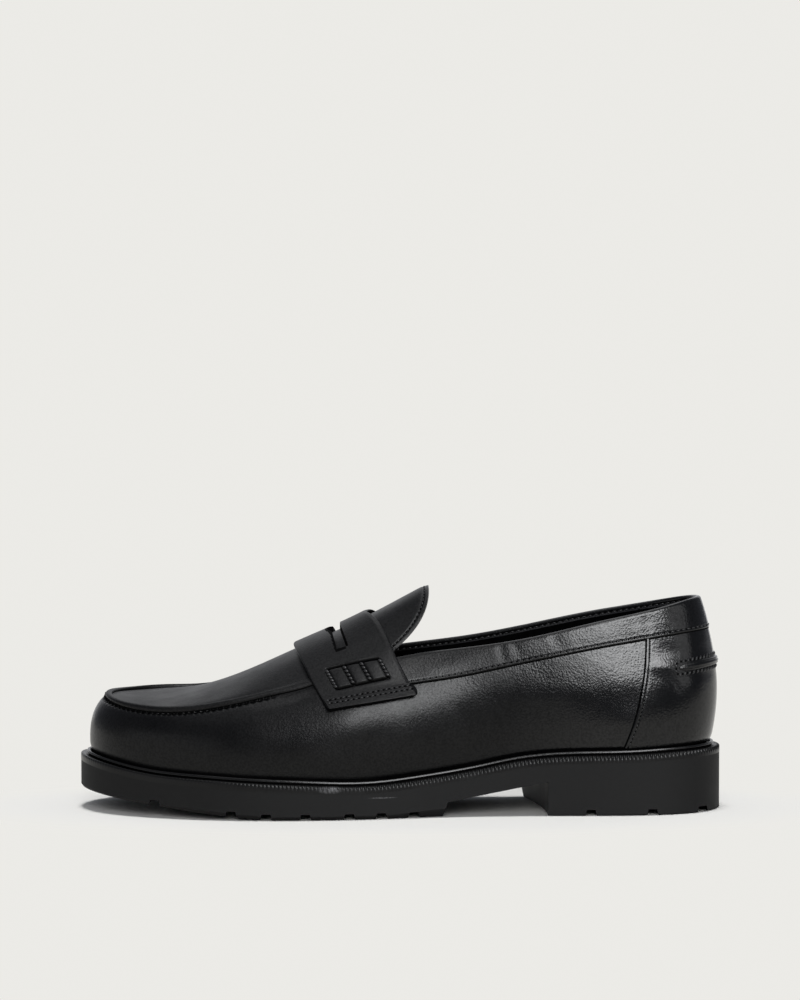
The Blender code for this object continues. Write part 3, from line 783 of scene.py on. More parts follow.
lip = {
    "startX": 37.0,  # both ends lie under the strap
    "step": 0.8,
    "foldSpan": (45.0, 62.0),  # towards the strap it sinks into a soft fold
    "foldHeight": 0.72,
    "foldWidth": 1.45,
    "tipSpan": (118.0, 138.0),  # at the toe it is pulled back and flatter
    "tipShrink": 0.35,
    "tipInside": 0.8,
    "tipOutside": 0.25,
    "onWall": 0.76,  # of its width down the wall
    "shadeUnderLip": slice(12, 14),  # section points at its lower edge, painted black as the shade under the lip
    "outside": (  # distance down the wall, height
        (0.0, 1.45), (0.35, 1.55), (0.8, 1.55), (1.3, 1.40),
        (1.8, 1.12), (2.2, 0.72), (2.5, 0.22), (2.6, -0.5),
    ),
    "inside": (  # distance into the apron, height
        (0.9, -0.5), (0.9, 0.35), (0.8, 0.85), (0.6, 1.18), (0.38, 1.32), (0.18, 1.26),
    ),
    "nearTop": 0.995,  # height share of the wall at which its lean is taken
    "root": (2.2, 0.2),  # depth and reach of the point that closes the section
    "threadFrom": 54.0, "threadBelow": 2.1, "threadLift": 0.05,
}


def seamPlaces(startX, step):
    fine = np.linspace(0.0, ringLength, 8000)
    inFront = fine[ringAt(fine)[:, 2] > startX]
    return np.linspace(inFront[0], inFront[-1], int((inFront[-1] - inFront[0]) / step))


def deckSlope(t):
    side = np.where(t <= toePlace, 1.0, -1.0)
    outer, inner = seamPair(sectionOfPlace(t))
    half = np.maximum(np.linalg.norm(outer - inner, axis=-1) / 2, 4.0)
    middle = (outer + inner) / 2
    crown = crestAt(middle[..., 0]) - middle[..., 2]
    tilt = side * (inner - outer)[..., 2] / (2 * half)
    ahead = (crestAt(middle[..., 0] - 2.0) - crestAt(middle[..., 0])) / 2.0
    out = outwardAt(t, 2)
    across = (last["crownPower"] * crown / half + tilt) * np.abs(out[..., 1])
    return across + ahead * np.maximum(out[..., 0], 0.0)


def lipLoops(t):
    top = ringAt(t)[:, 2:5]
    out = outwardAt(t, 2)
    slope = deckSlope(t)[:, None]
    inward = (-out + up * slope) / np.sqrt(1 + slope**2)
    deckUp = (up + out * slope) / np.sqrt(1 + slope**2)
    length = wallLength(t)
    full = ease(top[:, 0], *lip["foldSpan"])
    tip = ease(top[:, 0], *lip["tipSpan"])
    scale = (lip["foldHeight"] + (1.0 - lip["foldHeight"]) * full) * (1.0 - lip["tipShrink"] * tip)
    widen = lip["foldWidth"] + (1.0 - lip["foldWidth"]) * full
    loop = []
    for distance, height in lip["inside"]:
        tall = np.where(height > 0, height * scale, height)
        reach = inward * distance * widen[:, None] * (1.0 + lip["tipInside"] * tip[:, None])
        loop.append(top + reach + deckUp * tall[:, None])
    seamUp = unit(deckUp + wallNormal(t, lip["nearTop"]))
    for distance, height in lip["outside"]:
        share = 1.0 - distance * lip["onWall"] * (widen * (1.0 - lip["tipOutside"] * tip)) / length
        tall = np.where(height > 0, height * scale, height)
        lean = seamUp if distance < 0.1 else wallNormal(t, np.minimum(share, lip["nearTop"]))
        loop.append(wallAt(t, share) + lean * tall[:, None])
    rootDepth, rootReach = lip["root"]
    loop.append(top - up * rootDepth - out * rootReach)
    return np.stack(loop, axis=1)


lipPoints = lipLoops(seamPlaces(lip["startX"], lip["step"]))
lipPiece = sweptStrip("apronLip", lipPoints, ((lip["shadeUnderLip"], 1),), angle=70.0)
dress(lipPiece, apronLeather, "upper_leather", more=(rawEdgeAndShade,))

t = seamPlaces(lip["threadFrom"], 0.5)
share = 1.0 - lip["threadBelow"] / wallLength(t)
lipLine = (offWall(t, share, lip["threadLift"]), wallNormal(t, share))
lipSewing = sew("apronThread", [lipLine], pitch=3.1, length=1.7, width=0.75, slant=24.0, sink=0.3)
lipSewing.data.materials[0] = rawEdgeAndShade  # sunk so deep that only its shade shows
print("apron seam done")


# back panel over the heel: its front edge as height share and distance round from the back

panel = {
    "edge": ((0.0, 57.3), (0.16, 53.2), (0.389, 49.4), (0.607, 47.1), (0.82, 45.8), (1.0, 44.9)),
    "thickness": 1.1,
    "proud": 0.35,
    "drop": 0.80,  # down to the quarter at its edge
    "shadeStrip": 0.45,  # painted shade: black strip beside the edge
    # up to this far from the edge it is painted black: edge ink on the rounded edge, painted shade on the
    # strip beyond
    "inkAndShadeTo": 0.12,
    "stitchInset": 1.8,
    "stitchSink": 0.12,
    "stitchSpan": (0.03, 0.79),  # height shares
    "swell": 0.08, "swellPlace": (1.1, 0.6),  # between stitches and edge
    "underCollar": 0.75, "underSpan": (0.84, 0.90),  # it lies deeper below the collar band
    "span": (-0.002, 0.96),
    "columns": 260,
    "rows": 70,
}
panelCreases = {
    "ridgeToTab": (1, -113.0, 68.4, -126.5, 67.4, 2.6, -0.26),
    "hollowOverTab": (1, -119.0, 75.5, -130.0, 73.5, 4.6, 0.30),
    "fineLower": (1, -121.5, 62.5, -124.5, 58.5, 1.0, 0.06),
    "fineLowerTwo": (1, -126.0, 62.0, -129.0, 57.0, 1.4, 0.06),
    "ridgeInner": (-1, -116.5, 68.6, -126.5, 67.6, 1.9, -0.16),
    "hollowInner": (-1, -117.5, 63.5, -126.5, 64.5, 2.6, 0.26),
    "underTab": (0, -130.0, 62.5, -147.0, 64.0, 2.4, 0.18),
    "overTab": (0, -129.0, 74.0, -145.0, 75.0, 2.6, 0.16),
}
panelEdgeAt = smoothLine(*np.array(panel["edge"]).T)


def panelGrid():
    share = np.linspace(*panel["span"], panel["rows"])[:, None]
    spread = np.linspace(1.0, -1.0, panel["columns"])[None, :]
    spread = np.sign(spread) * (1.0 - (1.0 - np.abs(spread)) ** 1.5)  # finer near the edges
    t = (panelEdgeAt(share) + panel["shadeStrip"]) * spread
    points = wallAt(t, np.broadcast_to(share, t.shape))
    normal = gridNormals(points)
    under = -panel["underCollar"] * ease(share, *panel["underSpan"])
    under = under - creaseDepth(points, panelCreases) - footTuck(share * wallLength(t))
    fromEdge = panelEdgeAt(share) - np.abs(t)
    seam = panel["stitchSink"] * bell(fromEdge, panel["stitchInset"], 0.5)
    seam = seam - panel["swell"] * bell(fromEdge, *panel["swellPlace"])
    step = -panel["drop"] * (1.0 - ease(fromEdge, -0.05, 0.3))
    height = panel["proud"] + under - seam + step
    # the mask paints the strip beside the edge black as shade, and the rounded edge itself with ink
    return points + normal * height[..., None], fromEdge < panel["inkAndShadeTo"]


panelPoints, panelInkAndShade = panelGrid()
panelPiece = leatherSheet("backPanel", panelPoints, panel["thickness"], 0.0, marks=panelInkAndShade)
dress(panelPiece, vampLeather, "upper_leather", more=(rawEdgeAndShade,))
panelLines = []
for side in (1.0, -1.0):
    share = np.linspace(*panel["stitchSpan"], 120)
    t = side * (panelEdgeAt(share) - panel["stitchInset"])
    panelLines.append((offWall(t, share, panel["proud"] - panel["stitchSink"]), wallNormal(t, share)))
sew("panelThread", panelLines, pitch=1.8, length=1.2, width=0.55, sink=0.15, hole=0.75)
print("back panel done")


# collar band: folded over the topline, from strap round the heel to strap

collar = {
    "edge": (  # distance round from the back, height share of the lower edge
        (0.0, 0.790), (20.7, 0.793), (43.8, 0.805), (77.0, 0.805),
        (108.0, 0.798), (139.0, 0.764), (157.0, 0.757), (190.0, 0.75),
    ),
    "end": 172.0,  # under the strap
    "step": 1.0,
    "proud": 0.45,
    "overPanel": 0.35, "overSpan": (36.0, 54.0),  # more over the back panel, which ends along this stretch
    "shadeStripLow": -0.47, "shadeStripRise": 0.85, "shadeStripSpan": (45.0, 46.6),  # painted shade: dark strip below the edge, just over quarter and panel
    "shadeMarks": slice(4),  # section points along its lower edge that are painted black: edge ink on the rounded edge, painted shade on the strip below it
    "lined": slice(-12, -1),  # and those of its inside
    "lower": 0.6,
    "thickness": 2.8,
    "outerRows": 26,
    "stitchInset": 1.25,
    "liningStitch": 0.6,
    "rollAngles": (22.0, 48.0, 75.0, 102.0, 130.0, 156.0),  # over the top
    "insideDepths": (0.3, 0.6, 0.9, 2.0, 4.0, 7.0, 10.0, 13.0, 15.0),
}
collarCreases = {
    "pinchFront": (1, -46.0, 80.0, -47.5, 71.5, 2.0, 0.16),
    "pinchFrontTwo": (1, -52.0, 81.0, -54.5, 74.0, 2.2, 0.10),
    "pinchMiddle": (1, -70.0, 84.0, -74.0, 77.0, 3.0, 0.10),
    "pinchRear": (1, -113.0, 92.5, -115.0, 85.5, 2.2, 0.17),
    "pinchRearTwo": (1, -107.0, 91.5, -109.5, 85.5, 2.0, 0.11),
    "pinchInner": (-1, -60.0, 84.0, -61.0, 74.0, 2.2, 0.14),
    "pinchInnerTwo": (-1, -104.0, 92.0, -105.0, 83.0, 2.2, 0.14),
    "heelSlack": (1, -124.0, 94.0, -133.0, 89.5, 3.4, 0.16),
}
collarEdgeAt = smoothLine(*np.array(collar["edge"]).T)


# the band steps up where it crosses the back panel
def bandProud(t):
    return collar["proud"] + collar["overPanel"] * (1.0 - ease(np.abs(t), *collar["overSpan"]))


def collarLoops():
    t = np.arange(-collar["end"], collar["end"] + 0.1, collar["step"])
    length = wallLength(t)
    edge = collarEdgeAt(np.abs(t))
    thick = collar["thickness"]
    radius = thick / 2
    lower = collar["lower"] * (0.5 + 0.5 * ease(np.abs(t), 8.0, 40.0))
    topShare = 1.0 - (0.6 * radius + lower) / length
    loop = []
    # a flat strip below the edge, painted black as shade, then the rounded lower edge and the outer face
    proud = bandProud(t)
    shadeStripHeight = collar["shadeStripLow"] + collar["shadeStripRise"] * (1.0 - ease(np.abs(t), *collar["shadeStripSpan"]))
    step = proud - shadeStripHeight
    for inset, height in (
        (-0.6, shadeStripHeight), (-0.08, shadeStripHeight + 0.03), (0.0, shadeStripHeight + 0.33 * step), (0.12, shadeStripHeight + 0.72 * step), (0.4, proud),
    ):
        loop.append(offWall(t, edge + inset / length, height))
    for row in np.linspace(0.0, 1.0, collar["outerRows"])[1:] ** 1.7:
        share = edge + 0.6 / length + (topShare - edge - 0.6 / length) * row
        sag = creaseDepth(wallAt(t, share), collarCreases)
        fromEdge = (share - edge) * length
        seam = 0.10 * bell(fromEdge, collar["stitchInset"], 0.45) - 0.05 * bell(fromEdge, 0.7, 0.4)
        swell = 0.08 * ease(fromEdge, 2.0, 6.0) * (1.0 - 0.8 * ease(fromEdge, 8.0, 13.0))
        loop.append(offWall(t, share, proud + swell - sag - seam))
    # over the top and down the inside
    top = wallAt(t, topShare)
    normal = wallNormal(t, topShare)
    rise = unit(top - wallAt(t, topShare - 0.02))
    centre = top + normal * (proud - radius)[:, None]
    sag = 0.45 * creaseDepth(top + up * 0.5, collarCreases)
    for angle in np.radians(collar["rollAngles"]):
        lift = radius * math.sin(angle) - sag * math.sin(angle)
        loop.append(centre + normal * radius * math.cos(angle) + rise * lift[:, None])
    for depth in collar["insideDepths"]:
        groove = 0.22 if abs(depth - collar["liningStitch"]) < 0.1 else 0.0
        loop.append(offWall(t, topShare - depth / length, proud - thick + groove))
    share = topShare - (collar["insideDepths"][-1] + 0.4) / length
    for height in (-1.9, -1.4):
        loop.append(offWall(t, share, height))
    loop.append(wallAt(t, edge + 1.0 / length) + wallNormal(t, edge) * -0.9)
    return np.stack(loop, axis=1)


collarMarks = ((collar["shadeMarks"], 1), (collar["lined"], 2))
collarPiece = sweptStrip("collarBand", collarLoops(), collarMarks, angle=60.0)
dress(collarPiece, collarLeather, "upper_leather", more=(rawEdgeAndShade, liningLeather))
t = np.linspace(-collar["end"], collar["end"], 800)
share = collarEdgeAt(np.abs(t)) + collar["stitchInset"] / wallLength(t)
bandLine = (offWall(t, share, bandProud(t) - 0.14), wallNormal(t, share))
share = 1.0 - (0.6 * collar["thickness"] / 2 + collar["lower"] + collar["liningStitch"]) / wallLength(t)
liningLine = (offWall(t, share, bandProud(t) - collar["thickness"] + 0.1), -wallNormal(t, share))
collarLines = [bandLine, liningLine]
sew("collarThread", collarLines, pitch=2.9, length=2.0, width=0.75, lift=0.05, sink=0.2, hole=0.95)
print("collar band done")


# lining inside the wall, and the sock on the insole

lining = {
    "offset": -2.15, "thickness": 1.1, "columns": 360, "rows": 26,
    "below": 12.0, "foot": 2.5,  # from this far under the topline to this far over the bed
}


def liningGrid():
    t = np.linspace(0.0, ringLength, lining["columns"] + 1)
    length = wallLength(t)
    share = np.linspace(1.0, 0.0, lining["rows"])[:, None] * (1.0 - lining["below"] / length)[None, :]
    grid = np.broadcast_to(t, share.shape)
    points = offWall(grid, share, lining["offset"])
    low = points[-1].copy()
    low[:, 2] = bedAt(low[:, 0]) + lining["foot"]
    return np.concatenate([points, low[None]])


liningPiece = leatherSheet("lining", liningGrid(), lining["thickness"], 0.0, ring=True)
dress(liningPiece, liningLeather, "upper_leather")

sock = {"rows": 150, "columns": 34, "inset": 2.9, "top": 3.9, "thickness": 2.6, "dish": 1.4}


def sockGrid():
    section = toeSection * (0.5 - 0.5 * np.cos(np.pi * np.linspace(0.012, 0.988, sock["rows"])))
    section = np.linspace(0.12, toeSection - 0.10, sock["rows"]) * 0.4 + section * 0.6
    sides = []
    for side in (1, -1):
        t = placeAt(section, side)
        sides.append((footAt(t) - outwardAt(t, 0) * sock["inset"])[:, :2])
    across = np.linspace(0.0, 1.0, sock["columns"])
    plan = sides[0][:, None] * (1 - across)[None, :, None] + sides[1][:, None] * across[None, :, None]
    edge = np.abs(2 * across - 1.0)[None, :]
    height = bedAt(plan[..., 0]) + sock["top"] + sock["dish"] * (edge**4 - 0.4)
    return np.concatenate([plan, height[..., None]], axis=-1)


sockPiece = leatherSheet("sock", sockGrid(), sock["thickness"], 0.0)
dress(sockPiece, sockLeather, "insole_leather", "insole")
print("lining and sock done")


# strap over the instep: across from -1 at the outer end to +1, share from its front edge to its rear edge

strap = {
    "front": 48.9, "frontSweep": 15.0, "frontPower": 1.9,
    "rear": 14.8, "rearSweep": 21.3, "rearPower": 1.5,
    "endFrontHeight": 49.5, "endRearHeight": 56.0, "deckShare": 0.7,
    "clear": 0.3, "thickness": 2.6, "edge": 0.4, "rows": 104,
    "slotHalfLength": 28.3, "slotMiddle": 30.3, "slotSweep": 3.8,
    "slotHalfWidth": 2.1, "slotEndWidening": 0.55, "slotShadeRim": 0.2,
    "slotPointDepth": 1.9, "slotPointHalfWidth": 13.0,  # its front edge comes to a rounded point
    "boxTop": 0.682, "boxSlant": 0.045, "boxBottom": 0.858,  # laced squares, as |across|
    "boxShares": ((0.210, 0.398), (0.411, 0.590), (0.603, 0.800)),
    "boxSeams": (0.206, 0.4045, 0.5965, 0.804),
    "boxPillow": 0.55, "slitDepth": 1.6, "sideDepth": 0.9, "footDepth": 0.9, "grooveWidth": 0.55,
    "edgeRadius": 0.6, "skiveRear": 0.4,  # long edges are rounded, the rear one is thinned
    "endStand": 1.7, "squaresSink": 1.2,  # the ends stand off the side of the shoe below the squares
}
strapTop = strap["clear"] + strap["thickness"]


def strapPlace(across, share):
    across, share = matched(across, share)
    front = strap["front"] - strap["frontSweep"] * np.abs(across) ** strap["frontPower"]
    rear = strap["rear"] - strap["rearSweep"] * np.abs(across) ** strap["rearPower"]
    section = sectionAtX(front + (rear - front) * share)
    onDeck = deckAt(section, np.clip(across / strap["deckShare"], -1.0, 1.0))
    t = np.where(across < 0, placeAt(section, 1), placeAt(section, -1))
    down = np.clip((np.abs(across) - strap["deckShare"]) / (1.0 - strap["deckShare"]), 0.0, None)
    end = strap["endFrontHeight"] + (strap["endRearHeight"] - strap["endFrontHeight"]) * share
    top = ringAt(t)[..., 4]
    onWall = wallAt(t, shareAtHeight(t, top + (end - top) * down))
    return np.where((np.abs(across) <= strap["deckShare"])[..., None], onDeck, onWall)


def strapAcross():
    half = np.concatenate([
        np.linspace(0.0, 0.65, 46)[:-1], np.linspace(0.65, 0.89, 62)[:-1], np.linspace(0.89, 1.0, 14),
    ])
    return np.concatenate([-half[::-1], half[1:]])


# soften the bend where the strap turns down from the instep to the side
def smoothAcross(points, times):
    for _ in range(times):
        points[:, 1:-1] = points[:, 1:-1] * 0.5 + (points[:, :-2] + points[:, 2:]) * 0.25
    return points


def endStand(across):
    stand = strap["endStand"] * np.clip((np.abs(across) - 0.86) / 0.14, 0.0, 1.05) ** 2
    return stand - strap["squaresSink"] * ease(np.abs(across), 0.60, 0.86)


# coin slot in plan: its front and rear edge at a place across the shoe
def slotEdges(y):
    bow = (y / strap["slotHalfLength"]) ** 2
    middle = strap["slotMiddle"] - strap["slotSweep"] * bow
    half = strap["slotHalfWidth"] + strap["slotEndWidening"] * bow
    point = strap["slotPointDepth"] * np.clip(1.0 - (y / strap["slotPointHalfWidth"]) ** 2, 0.0, None)
    return middle + half + point, middle - half


def boxTop(share):
    return strap["boxTop"] + strap["boxSlant"] * (share - strap["boxShares"][0][0])


def strapGrid():
    across = strapAcross()[None, :]
    spread = np.linspace(-1.0, 1.0, strap["rows"])[:, None]
    share = 0.5 - 0.5 * np.sign(spread) * (1.0 - (1.0 - np.abs(spread)) ** 1.35)
    points = smoothAcross(strapPlace(across, share), 14)
    normal = gridNormals(points)
    width = np.linalg.norm(np.diff(points, axis=0), axis=-1).sum(0)[None, :]
    tall = np.linalg.norm(strapPlace(0.8, 0.5) - strapPlace(0.74, 0.5)) / 0.06
    relief = np.zeros(points.shape[:2])
    shadeMarks = np.zeros(points.shape[:2], bool)
    for low, high in strap["boxShares"]:
        fromSides = np.minimum(share - low, high - share) * width
        fromTop = (np.abs(across) - boxTop(share)) * tall
        fromFoot = (strap["boxBottom"] - np.abs(across)) * tall
        grow = [
            1.0 - np.exp(-np.clip(distance, 0.0, None) / reach)
            for distance, reach in ((fromSides, 0.9), (fromTop, 0.9), (fromFoot, 0.3))
        ]
        groove = strap["grooveWidth"]
        between = ease(fromSides, -0.5, 0.2)
        within = ease(fromTop, -0.4, 0.2) * ease(fromFoot, -0.4, 0.2)
        relief += strap["boxPillow"] * grow[0] * grow[1] * grow[2]
        relief -= strap["slitDepth"] * bell(fromTop, 0.0, groove) * between
        relief -= strap["footDepth"] * bell(fromFoot, 0.0, groove) * between
        relief -= strap["sideDepth"] * bell(fromSides, 0.0, groove) * within
        # painted shade in the slits at the top and foot of each square
        shadeMarks |= (fromSides > 0.1) & ((np.abs(fromTop) < 0.52) | (np.abs(fromFoot + 0.1) < 0.36))
    x, y = points[..., 0], points[..., 1]
    slotFront, slotRear = slotEdges(y)
    rim = strap["slotShadeRim"]  # painted shade: a dark line along the slot's long cut edges
    shadeMarks |= (x < slotFront + rim) & (x > slotRear - rim) & (np.abs(y) < strap["slotHalfLength"] - rim)
    radius = strap["edgeRadius"]
    fromEdge = np.clip(np.minimum(share, 1.0 - share) * width, 0.0, radius)
    relief -= radius - np.sqrt(radius**2 - (radius - fromEdge) ** 2)
    relief -= strap["skiveRear"] * (1.0 - ease((1.0 - share) * width, 0.0, 2.2))
    return points + normal * (strapTop + relief + endStand(across))[..., None], shadeMarks


strapPoints, strapShadeMarks = strapGrid()
strapPiece = leatherSheet("saddleStrap", strapPoints, strap["thickness"], strap["edge"], marks=strapShadeMarks)

# coin slot, cut with an upright cutter
y = np.linspace(-strap["slotHalfLength"], strap["slotHalfLength"], 53)
slotRows = [[np.stack([x, y, np.full_like(y, z)], -1) for x in slotEdges(y)] for z in (60.0, 120.0)]
slotLoops = np.stack([slotRows[0][0], slotRows[0][1], slotRows[1][1], slotRows[1][0]], axis=1)
slotCutter = sweptStrip("slotCutter", slotLoops)
for material in (vampLeather, rawEdgeAndShade):
    slotCutter.data.materials.append(material)
slotCutter.data.polygons.foreach_set("material_index", [1] * len(slotCutter.data.polygons))
cutWith(strapPiece, slotCutter, "DIFFERENCE")
finishMesh(strapPiece)
dress(strapPiece, strapLeather, "upper_leather", "strap", more=(rawEdgeAndShade,))

# strip sewn along each lower end, running a little past the strap's rear edge
keeper = {
    "top": 0.918, "bottom": 1.008, "front": 0.012, "rear": 1.035,
    "proud": 0.5, "thickness": 1.6, "edge": 0.4, "crown": 0.12,
    "cornerRound": 0.030, "cornerSpan": (1.0, 1.035), "rearDrop": 0.9, "dropSpan": (0.99, 1.03),
    "seams": (0.938, 0.966), "seamSpan": (0.03, 1.0), "seamLift": 0.15,
}
keeperTop = strapTop + keeper["proud"]


def keeperGrid(side):
    across = side * np.linspace(keeper["top"], keeper["bottom"], 26)[None, :]
    share = np.linspace(keeper["rear"], keeper["front"], 70)[:, None]
    middle = (keeper["top"] + keeper["bottom"]) / 2
    fromMiddle = (np.abs(across) - middle) / (keeper["bottom"] - middle)
    inward = keeper["cornerRound"] * ease(share, *keeper["cornerSpan"]) * fromMiddle**2
    points = strapPlace(across, share - inward)
    normal = gridNormals(points) * (1.0 if side > 0 else -1.0)
    height = keeperTop + endStand(across) - keeper["rearDrop"] * ease(share, *keeper["dropSpan"])
    down = np.clip((np.abs(across) - keeper["top"]) / (keeper["bottom"] - keeper["top"]), 0, 1)
    crown = keeper["crown"] * np.sin(np.pi * down)
    return (points + normal * (height + crown)[..., None])[:, :: int(side)]


for side, name in ((-1.0, "keeperOuter"), (1.0, "keeperInner")):
    piece = leatherSheet(name, keeperGrid(side), keeper["thickness"], keeper["edge"])
    dress(piece, strapLeather, "upper_leather", more=(rawEdgeAndShade,))


def strapLine(acrosses, shares, height):
    acrosses, shares = matched(acrosses, shares)
    ahead = strapPlace(acrosses, shares - 0.01) - strapPlace(acrosses, shares + 0.01)
    side = strapPlace(acrosses + 0.008, shares) - strapPlace(acrosses - 0.008, shares)
    normal = unit(np.cross(side, ahead))
    return strapPlace(acrosses, shares) + normal * (height + endStand(acrosses))[..., None], normal


rowLines, boxLines = [], []
for side in (-1.0, 1.0):
    for across in keeper["seams"]:
        along = np.linspace(*keeper["seamSpan"], 90)
        rowLines.append(strapLine(side * across, along, keeperTop + keeper["seamLift"]))
    for share in strap["boxSeams"]:
        down = np.linspace(boxTop(share) + 0.012, strap["boxBottom"] - 0.004, 40)
        boxLines.append(strapLine(side * down, share, strapTop + 0.05))
sew("strapThread", rowLines, pitch=2.5, length=2.0, width=0.85, slant=20.0, lift=0.05, sink=0.2, hole=1.0)
sew("boxThread", boxLines, pitch=1.75, length=2.6, width=1.6, slant=40.0, lift=0.05, sink=0.2, hole=0.9)
print("strap done:", len(strapPiece.data.polygons), "faces")


# tongue behind the strap

tongue = {
    "start": 21.5, "tip": -13.4, "cornerPower": 5.5, "cornerDrop": 26.5,
    "tuck": 2.5, "tuckPower": 4.0, "endTuck": 2.0, "roll": 1.0,
    "thickness": 2.0, "edge": 0.9, "rows": 70, "columns": 110, "stitchInset": 2.1, "length": 34.0,
}


def tonguePlace(across, share):
    across, share = matched(across, share)
    end = tongue["tip"] + tongue["cornerDrop"] * np.abs(across) ** tongue["cornerPower"]
    x = tongue["start"] + (end - tongue["start"]) * share
    return deckAt(sectionAtX(x), across)


# its end is rolled down and its sides tuck in behind the collar
def tongueRoll(share):
    return tongue["roll"] * np.clip((share - 0.86) / 0.14, 0.0, 1.0) ** 2


def tongueTuck(across):
    tuck = tongue["tuck"] * np.abs(across) ** tongue["tuckPower"]
    return tuck + tongue["endTuck"] * ease(np.abs(across), 0.88, 1.0)


# the stitching draws away from the edge at the corners
def tongueInset(across):
    return 1.0 + 2.2 * np.abs(across) ** 5


def tongueGrid():
    spread = np.linspace(-1.0, 1.0, tongue["columns"])[None, :]
    share = 1.0 - np.linspace(0.0, 1.0, tongue["rows"])[:, None] ** 1.15
    points = tonguePlace(spread, share)
    normal = gridNormals(points)
    points[..., 2] -= tongueRoll(share)
    fromEnd = (1.0 - share) * tongue["length"] / tongueInset(spread)
    groove = 0.3 * bell(fromEnd, tongue["stitchInset"], 0.5)
    return points - normal * (tongueTuck(spread) + groove)[..., None]


tonguePiece = leatherSheet("tonguePiece", tongueGrid(), tongue["thickness"], tongue["edge"])
dress(tonguePiece, apronLeather, "upper_leather", "tongue")  # folded edge, the same all round
across = np.linspace(-0.9, 0.9, 240)
share = 1.0 - tongue["stitchInset"] / tongue["length"] * tongueInset(across)
side = tonguePlace(across + 0.01, share) - tonguePlace(across - 0.01, share)
ahead = tonguePlace(across, share - 0.01) - tonguePlace(across, share + 0.01)
normal = unit(np.cross(side, ahead))
line = tonguePlace(across, share) - normal * (tongueTuck(across) + 0.15)[:, None]
line[:, 2] -= tongueRoll(share)
sew("tongueThread", [(line, normal)], pitch=2.2, length=1.6, width=0.65, sink=0.15, hole=0.8)
print("tongue done")


# heel tab: a rolled strip across the back, pointed at both ends

tab = {
    "reach": 31.5,  # distance round from the back to its tip
    "heightBack": 69.2, "heightEnd": 66.8, "halfHeight": 2.3, "proud": 1.9, "base": 0.35, "columns": 120,
    "threadOut": 0.55, "threadPast": 1.3,  # stitches beside it and past its tips
}


def tabLine(t, rise):
    bow = (t / tab["reach"]) ** 2
    height = tab["heightBack"] + (tab["heightEnd"] - tab["heightBack"]) * bow + rise
    share = shareAtHeight(t, height)
    return wallAt(t, share), wallNormal(t, share)


def tabLoops():
    t = np.linspace(-tab["reach"], tab["reach"], tab["columns"])
    near = np.abs(t) / tab["reach"]
    plump = np.sqrt(np.clip(1.0 - near**6, 0.02, 1.0))
    half = tab["halfHeight"] * plump * (0.80 + 0.25 * bell(near, 0.88, 0.3))
    loop = []
    for turn in np.linspace(-30.0, 210.0, 25):
        angle = math.radians(turn)
        point, normal = tabLine(t, half * math.cos(angle))
        crease = 0.22 * bell(turn, 72.0, 10.0) + 0.16 * bell(turn, 118.0, 9.0)
        tall = math.copysign(abs(math.sin(angle)) ** 0.75, math.sin(angle)) - crease
        height = tab["base"] + (tab["proud"] - tab["base"]) * plump * max(tall, -0.3)
        loop.append(point + normal * np.reshape(height, (-1, 1)))
    return np.stack(loop, axis=1)


tabPiece = sweptStrip("heelTab", tabLoops(), angle=70.0)
dress(tabPiece, collarLeather, "upper_leather", "heel_tab")
turn = np.radians(np.linspace(90.0, -90.0, 24))
straight = np.linspace(-tab["reach"], tab["reach"], 140)
level = np.full(len(straight), tab["halfHeight"] + tab["threadOut"])
endRun = (tab["reach"] + tab["threadPast"] * np.cos(turn))[1:-1]
endRise = level[0] * np.sin(turn)[1:-1]
roundRun = np.concatenate([straight, endRun, straight[::-1], -endRun[::-1]])
roundRise = np.concatenate([level, endRise, -level, endRise[::-1]])
point, normal = tabLine(roundRun, roundRise)
tabRound = [(point + normal * tab["base"], normal)]
sew("tabThread", tabRound, pitch=2.5, length=2.9, width=1.05, slant=46.0, lift=0.05, sink=0.4, hole=1.1)
print("heel tab done")


# welt: smooth bead against the upper, a groove, and a ribbed flange

welt = {
    "ribPitch": 1.8, "ribDepth": 0.6, "ribDrop": 0.22, "ribColumns": 6,
    "beadWidth": 1.5, "beadRise": 0.1, "groove": 0.5,
    "grooveShade": slice(8, 11), "shiny": slice(12, 19),  # section points: the groove painted black as shade, and the bead's glossy face
}


